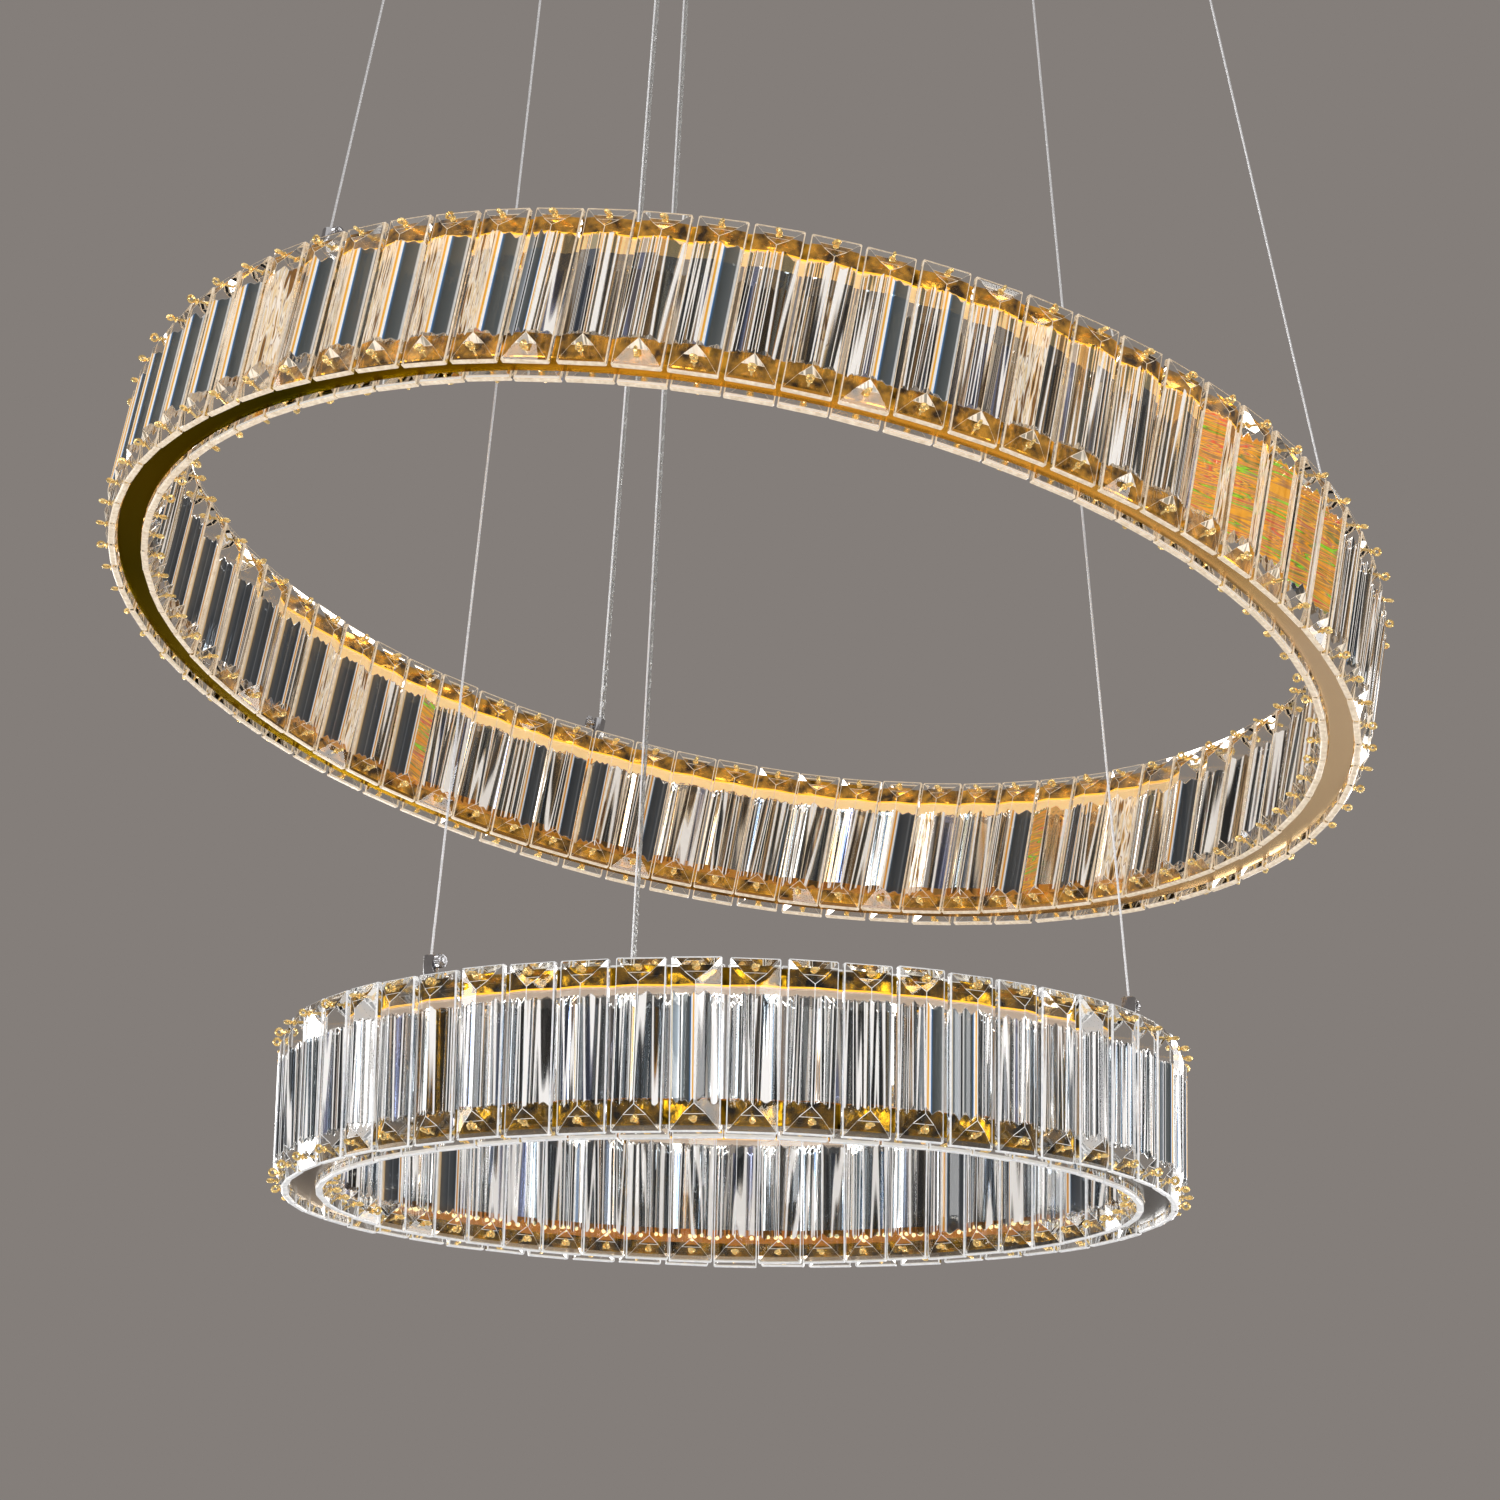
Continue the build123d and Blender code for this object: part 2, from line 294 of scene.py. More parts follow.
@dataclass(frozen=True)
class CutCrystal:
    """Clear lead-free crystal glass, pressed, ground and polished.

    The eye sees long bright and dark lines where a bar throws back its neighbours' edges, so the finish carries
    them as painted reflections: lines along the bar in slate, grey-blue, amber and white, and a ripple in its
    surface.
    The white lines are painted highlights, glowing with the strips' light. Near its ends a bar is plain, and its back
    can be ground white at the very ends.
    """

    name: str
    warm: bool
    line_mm: float
    plain_above_mm: float
    plain_below_mm: float
    cut: Cut = Cut.LINED
    deep: bool = False
    run_mm: float = 700.0
    slate_mm: float = 14.0
    sway: float = 0.06
    ripple_width_mm: float = 3.0
    ripple_mm: float = 0.12
    uneven_mm: float = 5.0
    blur_mm: float = 0.3
    ridge_mm: float = 4.5
    bar_mm: float = 30.0
    ground_below_mm: float = 99.0
    ground_roughness: float = 0.35
    glow: float = 0.17

    def material(self) -> Material:
        """Build the finish: painted reflections as lines, streaks or a slate field mid-bar, and clear glass near its
        ends.

        A slate field follows the distance from the bar's ridge as a share of slate_mm, and sways a little along it.

        Returns:
            The material.
        """
        shader = Shader(self.name)
        place = add_node(shader.tree, "ShaderNodeSeparateXYZ", inputs={"Vector": shader.bar()}).outputs
        pattern = shader.streaks(*STREAKS_MM.get(self.cut, (self.line_mm, self.run_mm)), detail=2.0, roughness=0.6)
        if self.cut is Cut.SLATE:
            on_bar = shader.math("WRAP", place["X"], (self.ridge_mm + self.bar_mm / 2) * MM,
                                 (self.ridge_mm - self.bar_mm / 2) * MM)
            off_ridge = shader.math("ABSOLUTE", shader.math("SUBTRACT", on_bar, self.ridge_mm * MM))
            reach = shader.math("MULTIPLY_ADD", off_ridge, 1 / (self.slate_mm * MM), -self.sway / 2)
            pattern = shader.math("MULTIPLY_ADD", pattern, self.sway, reach)
        ripple = shader.streaks(self.ripple_width_mm, self.run_mm, detail=0.0)
        level = shader.math("MULTIPLY_ADD", ripple, self.uneven_mm * MM, place["Y"])
        half = self.uneven_mm / 2
        middle = shader.math("MULTIPLY", self.step(shader, level, self.plain_above_mm + half, 1.0),
                             self.step(shader, level, half - self.plain_below_mm, 0.0))
        tone = shader.ramp(pattern, self.tones())
        # Painted highlight lines: the glass is opaque where they are
        lined = shader.node("ShaderNodeMix", {"data_type": "FLOAT"}, {
            0: middle, 2: 1.0, 3: shader.ramp(pattern, self.highlight_clearness())})
        unground = self.step(shader, place["Y"], -self.ground_below_mm, 0.0)
        clear = shader.math("MULTIPLY", lined, unground)
        # Painted light: where the glass is not clear it glows, white for the lines and ground ends, and in its own
        # tone for the other painted reflections
        lit = ("#ffeccf" if self.warm else "#fffaf2") if self.cut in (Cut.LINED, Cut.CLEAR) else tone
        return shader.finish({
            "IOR": GLASS_IOR, "Base Color": shader.mix(middle, CLEAR_GLASS, tone), "Transmission Weight": clear,
            "Roughness": shader.fit(unground, self.ground_roughness, 0.0), "Emission Strength": self.glow,
            "Emission Color": shader.mix(clear, lit, BLACK),
            "Normal": shader.bump(shader.math("MULTIPLY", ripple, middle), strength=1.0, depth_mm=self.ripple_mm)})

    def step(self, shader: Shader, value: Socket, at_mm: float, low_side: float) -> Socket:
        """A quick step from low_side to its opposite where the value passes at_mm."""
        return shader.fit(value, low_side, 1.0 - low_side, (at_mm - self.blur_mm) * MM, (at_mm + self.blur_mm) * MM)

    def tones(self) -> Stops:
        """Choose the colours of the painted reflections.

        Returns:
            Stops along the pattern. A lined facet is clear, with painted reflections in slate, grey-blue, amber and a
            little violet, and white painted highlights.
        """
        if self.cut is not Cut.LINED:
            return DEEP_SLATE_REFLECTION if self.deep else REFLECTION_TONES[self.cut]
        soft, softer = ("#c09a66", "#8d7250") if self.warm else ("#727f8b", "#626e7a")
        dark, darker = ("#3a3128", "#4c4232") if self.warm else ("#2c343c", "#39434c")
        return ((0.330, "#8ea6ff"), (0.345, WHITE), (0.375, WHITE), (0.380, dark), (0.406, darker), (0.411, WHITE),
                (0.436, WHITE), (0.442, soft), (0.474, softer), (0.479, WHITE), (0.503, WHITE), (0.508, "#2a333c"),
                (0.540, "#414c57"), (0.545, WHITE), (0.570, WHITE), (0.578, "#f0a848"), (0.594, WHITE),
                (0.606, "#252c33"), (0.636, "#4c463c"), (0.641, WHITE), (0.680, WHITE), (0.690, "#6f88b4"))

    def highlight_clearness(self) -> Stops:
        """Choose how clear the glass is over the pattern.

        Returns:
            Stops along the pattern: white is clear, and dark is where a painted highlight line shows solid white.
        """
        if self.cut is not Cut.LINED:
            return ((0.0, REFLECTION_CLEARNESS[self.cut]), (1.0, REFLECTION_CLEARNESS[self.cut]))
        return [stop for start, full, last, end, grey in HIGHLIGHT_LINES
                for stop in ((start, WHITE), (full, grey), (last, grey), (end, WHITE))]


@dataclass(frozen=True)
class GroundEdge:
    """The thin arris ground along each edge of a bar, left finely matt, and glowing with painted light as a bright
    line.
    """

    name: str
    colour: str = "#fffdfa"
    shade: str = "#b9c0c9"
    grit_mm: float = 2.6
    roughness: float = 0.25
    clear: float = 0.08
    glow: float = 0.42

    def material(self) -> Material:
        """Build the finish: milky white glass, its tone broken up along the edge by the grinding, glowing in that
        tone as painted light.

        Returns:
            The material.
        """
        shader = Shader(self.name)
        tone = shader.mix(shader.grain(self.grit_mm, detail=2.0), self.shade, self.colour)
        return shader.finish({
            "Base Color": tone, "Roughness": self.roughness, "IOR": GLASS_IOR, "Transmission Weight": self.clear,
            "Emission Color": tone, "Emission Strength": self.glow})


@dataclass(frozen=True)
class FacetTip:
    """Polished glass of the small facet at a ridge's lower end, with a painted highlight: a pale streaked triangle
    that glows.
    """

    name: str = "painted_highlight_tip_facet"
    streak_mm: float = 3.0
    run_mm: float = 60.0
    roughness: float = 0.08
    clear: tuple[float, float] = (0.05, 0.4)
    glow: float = 0.35

    def material(self) -> Material:
        """Build the finish: half-clear glass with a painted highlight of pale glowing streaks along the bar.

        Returns:
            The material.
        """
        shader = Shader(self.name)
        streak = shader.streaks(self.streak_mm, self.run_mm, detail=1.0)
        tone = shader.ramp(streak, TIP_HIGHLIGHT_TONES)
        return shader.finish({
            "Base Color": tone, "Roughness": self.roughness, "IOR": GLASS_IOR, "Emission Color": tone,
            "Emission Strength": self.glow,
            "Transmission Weight": shader.fit(streak, *self.clear, start=0.35, end=0.65)})


@dataclass(frozen=True)
class Metal:
    """A metal or plated finish. The grain is a drift of tone and of gloss, and a wave of the surface.

    Polished plate shows long soft waves, satin plate fine short grain, and turned nickel fine rings.
    """

    name: str
    colour: str
    shade: str
    roughness: float
    grain_mm: float
    wave_mm: float = 0.05
    contrast: float = 1.0
    seed: float = 0.0
    glow: float = 0.0
    drift: Stops = ()
    rim: str = WHITE
    gloss_drift: float = 0.3

    def material(self) -> Material:
        """Build the finish from its two tones, its gloss and its grain.

        With glow, the plate glows with painted light, for the light that the strips beside it spread over it. With
        drift, its tone follows the stops of a painted reflection round the Z axis instead of the grain. The rim
        colour is what it shows at a glancing angle.

        Returns:
            The material.
        """
        shader = Shader(self.name)
        grain = shader.grain(self.grain_mm, detail=2.0, seed=self.seed)
        reach = 0.5 / self.contrast
        colour = shader.mix(shader.fit(grain, 0.0, 1.0, 0.5 - reach, 0.5 + reach), self.shade, self.colour)
        # Painted reflection: the tone set round the Z axis
        if self.drift:
            colour = shader.ramp(shader.node("ShaderNodeTexGradient", {"gradient_type": "RADIAL"}, {
                "Vector": shader.place()}, "Fac"), self.drift)
        # Painted light: with glow, the finish glows in its own tone
        light = {"Emission Color": colour, "Emission Strength": self.glow} if self.glow > 0 else {}
        return shader.finish({
            "Metallic": 1.0, "Specular Tint": self.rim, "Base Color": colour,
            "Roughness": shader.fit(grain, self.roughness * (1 - self.gloss_drift),
                                    self.roughness * (1 + self.gloss_drift)),
            "Normal": shader.bump(grain, strength=0.5, depth_mm=self.wave_mm), **light})


@dataclass(frozen=True)
class Moulded:
    """A plastic, silicone or printed-board finish: two close tones, fine grain, and light where it glows."""

    name: str
    colour: str
    shade: str
    roughness: float
    grain_mm: float = 1.5
    wave_mm: float = 0.05
    clear: float = 0.0
    glow: float = 0.0

    def material(self) -> Material:
        """Build the finish from its tones and its grain.

        Returns:
            The material.
        """
        shader = Shader(self.name)
        grain = shader.grain(self.grain_mm, detail=3.0)
        light = {"Emission Color": self.colour, "Emission Strength": self.glow} if self.glow > 0 else {}
        return shader.finish({
            "Base Color": shader.mix(grain, self.shade, self.colour), "Roughness": self.roughness,
            "Transmission Weight": self.clear,
            "Normal": shader.bump(grain, strength=0.3, depth_mm=self.wave_mm), **light})


# Surfaces as arrays


def about(axis: int, angles: np.ndarray) -> np.ndarray:
    """Rotation matrices about the X, Y or Z axis.

    Args:
        axis: 0 for X, 1 for Y and 2 for Z.
        angles: one angle in radians for each matrix.

    Returns:
        The matrices, as (angles, 3, 3).
    """
    turns = np.zeros((len(angles), 3, 3))
    i, j = (axis + 1) % 3, (axis + 2) % 3
    turns[:, axis, axis] = 1.0
    turns[:, i, i] = turns[:, j, j] = np.cos(angles)
    turns[:, j, i], turns[:, i, j] = np.sin(angles), -np.sin(angles)
    return turns


def on_circle(radius: float | np.ndarray, angles: np.ndarray, levels: float | np.ndarray) -> np.ndarray:
    """Points (r cos a, r sin a, z) on a circle about the Z axis, at angles in radians."""
    return np.stack([radius * np.cos(angles), radius * np.sin(angles), levels + 0 * angles], axis=-1)


@dataclass(frozen=True)
class Place:
    """A place in the model: a rotation, then a shift."""

    turn: np.ndarray
    shift: np.ndarray

    @staticmethod
    def at(x: float = 0.0, y: float = 0.0, z: float = 0.0) -> "Place":
        """A place without a turn."""
        return Place(np.eye(3), np.array([x, y, z]))

    def then(self, inner: "Place") -> "Place":
        """The place of something that stands at inner in this place's own frame."""
        return Place(self.turn @ inner.turn, self.turn @ inner.shift + self.shift)

    def around(self, angle: float, radius: float) -> "Place":
        """A spot on a circle about this place's axis, with X pointing outwards; the angle is in degrees."""
        turn = about(2, np.radians([angle]))[0]
        return self.then(Place(turn, turn @ np.array([radius, 0.0, 0.0])))

    def world(self, points: np.ndarray) -> np.ndarray:
        """Carry points from this place's frame to the model's."""
        return points @ self.turn.T + self.shift


# Turns that lay a piece made along Z on its side: its top towards -X, or towards +Y
TO_MINUS_X = Place(about(1, np.radians([-90.0]))[0], np.zeros(3))
TO_PLUS_Y = Place(about(0, np.radians([-90.0]))[0], np.zeros(3))


def hung(drop: float, tilt: float, low_side: float) -> Place:
    """Work out a ring's place: it hangs below the ceiling and leans to one side.

    Args:
        drop: how far its middle is below the ceiling, in metres.
        tilt: its lean in degrees.
        low_side: the direction in which it leans down, in degrees about Z.

    Returns:
        The ring's place in the model.
    """
    side, lean = math.radians(low_side), math.radians(tilt)
    turn = Matrix.Rotation(side, 3, "Z") @ Matrix.Rotation(lean, 3, "Y") @ Matrix.Rotation(-side, 3, "Z")
    return Place(np.array(turn), np.array([0.0, 0.0, -drop]))


@dataclass
class Surface:
    """A mesh as arrays: its points, the point number at every face corner, and each face's corner count.

    tones is the material number of each face, and flat gives two coordinates for each point's UV map.
    """

    points: np.ndarray
    corners: np.ndarray
    counts: np.ndarray
    tones: np.ndarray | None = None
    flat: np.ndarray | None = None

    def moved(self, place: Place) -> "Surface":
        """The surface carried to a place."""
        return replace(self, points=place.world(self.points))


def join(parts: Sequence[Surface]) -> Surface:
    """Put several surfaces side by side in the same arrays.

    Args:
        parts: surfaces of one material.

    Returns:
        All of them in one surface.
    """
    firsts = np.cumsum([0] + [len(part.points) for part in parts])
    return Surface(np.vstack([part.points for part in parts]),
                   np.concatenate([part.corners + first for part, first in zip(parts, firsts)]),
                   np.concatenate([part.counts for part in parts]))


def grid(rows: int, columns: int, closed: bool) -> np.ndarray:
    """Lay four-sided faces over a grid of points stored row by row, where each row is a closed ring.

    Args:
        rows: number of rows.
        columns: number of points in a row.
        closed: whether the last row joins the first.

    Returns:
        One row of four point numbers for each face.
    """
    i = np.arange(rows if closed else rows - 1)[:, None]
    j = np.arange(columns)[None, :]
    i2, j2 = (i + 1) % rows, (j + 1) % columns
    return np.stack([i * columns + j, i * columns + j2, i2 * columns + j2, i2 * columns + j], axis=-1).reshape(-1, 4)


def looped(points: np.ndarray) -> Surface:
    """The surface over a grid of points that closes on itself both ways, given as (rows, columns, 3)."""
    quads = grid(points.shape[0], points.shape[1], True)
    return Surface(points.reshape(-1, 3), quads.ravel(), np.full(len(quads), 4))


def capped_tube(points: np.ndarray, low: Sequence[float], high: Sequence[float]) -> Surface:
    """Close a stack of rings of points with a fan of triangles at each end.

    Args:
        points: rings from the low end to the high end, anticlockwise seen from the high end, as (rings, sides, 3).
        low: the pole of the first ring.
        high: the pole of the last ring.

    Returns:
        The closed surface.
    """
    rows, sides, _ = points.shape
    quads = grid(rows, sides, False)
    k = np.arange(sides)
    last = (rows - 1) * sides
    bottom = np.stack([np.full(sides, rows * sides), (k + 1) % sides, k], axis=-1)
    top = np.stack([np.full(sides, rows * sides + 1), last + k, last + (k + 1) % sides], axis=-1)
    return Surface(np.vstack([points.reshape(-1, 3), [low, high]]),
                   np.concatenate([quads.ravel(), bottom.ravel(), top.ravel()]),
                   np.concatenate([np.full(len(quads), 4), np.full(2 * sides, 3)]))


def outlined(radius: float, levels: Sequence[float], outline: Outline) -> list[tuple[float, float]]:
    """Read an outline table: the radius and height of each point, from the piece's own radius and levels."""
    return [(radius + out * MM, levels[level] + up * MM) for out, level, up in outline]


def turned(profile: Sequence[tuple[float, float]], sides: int, ribs: int = 0, rib_depth: float = 0.0,
           ribbed: tuple[float, float] = (0.0, 0.0)) -> Surface:
    """Turn a profile about the Z axis: point (r, z) goes to (r cos a, r sin a, z) at evenly spaced angles a.

    Ribs take rib_depth (1 - cos(ribs a)) / 2 off the radius between the levels in ribbed.

    Args:
        profile: radius and height in metres of each point, from the lower pole to the upper pole.
        sides: number of angles.
        ribs: number of ribs round the piece.
        rib_depth: depth of the grooves between them.
        ribbed: lowest and highest level that has ribs.

    Returns:
        A closed surface.
    """
    line = np.asarray(profile, float)
    a = np.linspace(0, TURN, sides, endpoint=False)
    groove = rib_depth * (1 - np.cos(ribs * a)) / 2
    has_ribs = (line[:, 1] > ribbed[0]) & (line[:, 1] < ribbed[1])
    radius = line[:, :1] - has_ribs[:, None] * groove[None, :]
    rings = np.stack([radius * np.cos(a), radius * np.sin(a), np.repeat(line[:, 1:], sides, axis=1)], axis=-1)
    return capped_tube(rings, (0, 0, line[0, 1]), (0, 0, line[-1, 1]))


def hoop(profile: np.ndarray, steps: int) -> Surface:
    """Carry a closed profile of (r, z) points round the Z axis; the profile runs clockwise, with r to the right."""
    a = np.linspace(0, TURN, steps, endpoint=False)[:, None]
    return looped(on_circle(profile[None, :, 0], a, np.repeat(profile[None, :, 1], steps, axis=0)))


def rounded_box(radii: tuple[float, float], levels: tuple[float, float], corner: float, steps: int) -> np.ndarray:
    """Draw a rectangle with rounded corners.

    Args:
        radii: its least and greatest r.
        levels: its lowest and highest z.
        corner: the radius of its corners.
        steps: number of points on each corner's arc.

    Returns:
        Its (r, z) points, clockwise.
    """
    left, right, low, high = radii[0] + corner, radii[1] - corner, levels[0] + corner, levels[1] - corner
    points = []
    for r, z, start in ((right, high, 90), (right, low, 0), (left, low, -90), (left, high, -180)):
        a = np.radians(start - np.linspace(0, 90, steps))
        points.append(np.stack([r + corner * np.cos(a), z + corner * np.sin(a)], axis=-1))
    return np.vstack(points)


def repeat(shape: Surface, turns: np.ndarray, places: np.ndarray) -> Surface:
    """Copy a shape to many places at once: each point is turned, then shifted.

    Args:
        shape: the shape at the origin.
        turns: one 3 by 3 rotation for each copy.
        places: one point for each copy.

    Returns:
        All the copies in one surface.
    """
    copies = len(places)
    points = np.einsum("nij,pj->npi", turns, shape.points) + places[:, None, :]
    first = (np.arange(copies) * len(shape.points))[:, None]
    tones = None if shape.tones is None else np.tile(shape.tones, copies)
    return Surface(points.reshape(-1, 3), (shape.corners[None, :] + first).ravel(), np.tile(shape.counts, copies),
                   tones)


def add_object(name: str, data: bpy.types.ID) -> bpy.types.Object:
    """Make an object of a mesh, curve, light or camera and put it in the scene."""
    thing = bpy.data.objects.new(name, data)
    bpy.context.scene.collection.objects.link(thing)
    return thing


def make_piece(name: str, surface: Surface, finishes: Sequence[Material], body: str,
               shading: Shading = Shading.TURNED) -> bpy.types.Object:
    """Make a mesh object that rides on a body.

    Args:
        name: the piece's name.
        surface: its arrays.
        finishes: its materials, in the order of the surface's material numbers.
        body: the CAD body that it moves with.
        shading: how its edges are shaded.

    Returns:
        The object.
    """
    mesh = bpy.data.meshes.new(name)
    mesh.vertices.add(len(surface.points))
    mesh.vertices.foreach_set("co", surface.points.ravel())
    mesh.loops.add(len(surface.corners))
    mesh.loops.foreach_set("vertex_index", surface.corners.astype(np.int32))
    mesh.polygons.add(len(surface.counts))
    starts = np.concatenate([[0], np.cumsum(surface.counts)[:-1]])
    mesh.polygons.foreach_set("loop_start", starts.astype(np.int32))
    if surface.tones is not None:
        mesh.polygons.foreach_set("material_index", surface.tones.astype(np.int32))
    if surface.flat is not None:
        layer = mesh.uv_layers.new(name="bar")
        layer.data.foreach_set("uv", surface.flat[surface.corners].ravel())
    for finish in finishes:
        mesh.materials.append(finish)
    mesh.update(calc_edges=True)
    mesh.validate()
    if shading.value is None:
        mesh.shade_flat()
    else:
        mesh.shade_smooth()
        mesh.set_sharp_from_angle(angle=math.radians(shading.value))
    piece = add_object(name, mesh)
    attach(piece, body)
    return piece


def dress(node: str, finish: Material) -> None:
    """Give a CAD node one finish on all its faces.

    Args:
        node: the node's name.
        finish: its material.
    """
    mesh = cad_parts[node].data
    mesh.materials.clear()
    mesh.materials.append(finish)


# The parts of the light


@dataclass
class Crystal:
    """One bar: a flat back, a thin girdle, a long ridge and stepped ends. Its back is in the YZ plane.

    The shares say how wide its edges are ground, from 1 round the back and girdle down to those on the roof.
    """

    height: float = 74.4 * MM
    width: float = 21.6 * MM
    girdle: float = 3.0 * MM
    depth: float = 7.5 * MM
    first_step: float = 7.0 * MM
    step_length: float = 4.2 * MM
    step_width: float = 9.8 * MM
    arris: float = 0.55 * MM
    ridge_share: float = 0.3
    tip_share: float = 0.25
    step_share: float = 0.2
    roof_share: float = 0.08

    def shape(self) -> Surface:
        """The bar's fourteen corners and eleven faces.

        The roof falls from the ridge to the girdle in a straight line, so a point at half width y on it has the
        depth girdle + (depth - girdle)(1 - y / half the width).

        Returns:
            The bar, with a material number for each face.
        """
        w, h, g, d = self.width / 2, self.height / 2, self.girdle, self.depth
        s = self.step_width / 2
        x = g + (d - g) * (1 - s / w)
        z1 = h - self.first_step
        z2 = z1 - self.step_length
        points = [(0, -w, -h), (0, w, -h), (0, w, h), (0, -w, h), (g, -w, -h), (g, w, -h), (g, w, h), (g, -w, h),
                  (x, -s, -z1), (x, s, -z1), (x, s, z1), (x, -s, z1), (d, 0, -z2), (d, 0, z2)]
        faces = [(0, 3, 2, 1), (0, 4, 7, 3), (1, 2, 6, 5), (0, 1, 5, 4), (3, 7, 6, 2), (4, 5, 9, 8), (7, 11, 10, 6),
                 (8, 9, 12), (11, 13, 10), (5, 6, 10, 13, 12, 9), (7, 4, 8, 12, 13, 11)]
        # 3 for the back, 1 for the ground ends, 2 for the lower tip, and 0 for the rest
        tones = np.array([3, 0, 0, 1, 1, 0, 0, 2, 0, 0, 0])
        return Surface(np.array(points, float), np.concatenate(faces), np.array([len(face) for face in faces]), tones)

    def weights(self) -> np.ndarray:
        """Work out how wide each edge is ground.

        Corners 0 to 7 are those of the back and the girdle, 8 to 11 of the two steps, and 12 and 13 of the ridge.

        Returns:
            The share of the arris for every pair of the bar's corners.
        """
        share = np.zeros((14, 14))
        share[:8, :8] = 1.0
        share[8:, 4:8] = share[4:8, 8:] = self.roof_share
        share[12, 13] = share[13, 12] = self.ridge_share
        share[8:12, 12:] = share[12:, 8:12] = self.tip_share
        share[8:12, 8:12] = self.step_share
        return share


@dataclass
class EyePin:
    """A gold eye pin: a wire stem from the band through a crystal's end, with a small ring outside."""

    stem_length: float = 9.5 * MM
    wire: float = 0.7 * MM
    eye_radius: float = 1.45 * MM
    wrap_wire: float = 0.45 * MM
    wrap_radius: float = 1.1 * MM
    wrap_place: float = 2.9 * MM
    loop_steps: int = 10
    wire_sides: int = 5

    def loop(self, radius: float, wire: float) -> Surface:
        """Bend wire to a ring about the Y axis.

        A point of it is radius + wire cos b from the axis at angle a, and wire sin b along the axis.

        Args:
            radius: from the axis to the middle of the wire.
            wire: the wire's radius.

        Returns:
            The closed surface.
        """
        a = np.linspace(0, TURN, self.loop_steps, endpoint=False)[:, None]
        b = np.linspace(0, TURN, self.wire_sides, endpoint=False)[None, :]
        reach = radius + wire * np.cos(b)
        return looped(np.stack([reach * np.cos(a), wire * np.sin(b) + 0 * a, reach * np.sin(a)], axis=-1))

    def shape(self) -> Surface:
        """Make one pin along X: a stem, an eye with its middle at the origin, and a wrap of wire on the stem.

        Returns:
            The pin's surface.
        """
        stem = turned([(self.wire, -self.stem_length), (self.wire, -self.eye_radius)], self.wire_sides)
        stem.points = stem.points[:, [2, 0, 1]]
        on_stem = Place(about(2, np.radians([90.0]))[0], np.array([-self.wrap_place, 0.0, 0.0]))
        return join([self.loop(self.eye_radius, self.wire), stem,
                     self.loop(self.wrap_radius, self.wrap_wire).moved(on_stem)])


@dataclass(frozen=True)
class RowLook:
    """How the bars of a row look.

    It gives the width of their painted reflection lines, the length of their ground back ends, their slate painted
    reflections, and the levels above and below which they are plain.
    """

    line_mm: float
    ground_mm: float
    slate_glow: float
    deep_slate: bool
    plain_above_mm: float = 20.5
    plain_below_mm: float = 24.5


@dataclass(frozen=True)
class Arc:
    """A stretch of a row of bars with its own odds of slate, amber and cream painted reflections, one for each of the
    long facets.

    It runs from start to end, in degrees round the ring.
    """

    row: Row
    start: float
    end: float
    slate: tuple[float, float]
    amber: tuple[float, float]
    cream: tuple[float, float]


# The rows of the warm ring and of the cool one
ROW_LOOKS = {
    (True, Row.OUTER): RowLook(13.0, 0.9, 0.3, False, plain_above_mm=23.0),
    (True, Row.INNER): RowLook(19.0, 1.7, 0.12, True, plain_above_mm=18.0, plain_below_mm=27.5),
    (False, Row.OUTER): RowLook(13.0, 0.9, 0.3, False),
    (False, Row.INNER): RowLook(19.0, 1.7, 0.12, True),
}
# A facet's odds of slate, amber and cream painted reflections on a warm ring and on a cool one, where no arc gives
# others
ALL_ROUND = {True: (0.12, 0.02, 0.08), False: (0.12, 0.0, 0.0)}
# Arcs of the warm ring where the painted reflections differ
WARM_ARCS = (
    Arc(Row.OUTER, -170, -108, slate=(0.85, 0.0), amber=(0.02, 0.02), cream=(0.1, 0.8)),
    Arc(Row.OUTER, -51, -27, slate=(0.12, 0.0), amber=(0.02, 1.0), cream=(0.5, 0.08)),
    Arc(Row.INNER, 124, 172, slate=(0.0, 0.97), amber=(0.02, 0.02), cream=(0.35, 0.0)),
)


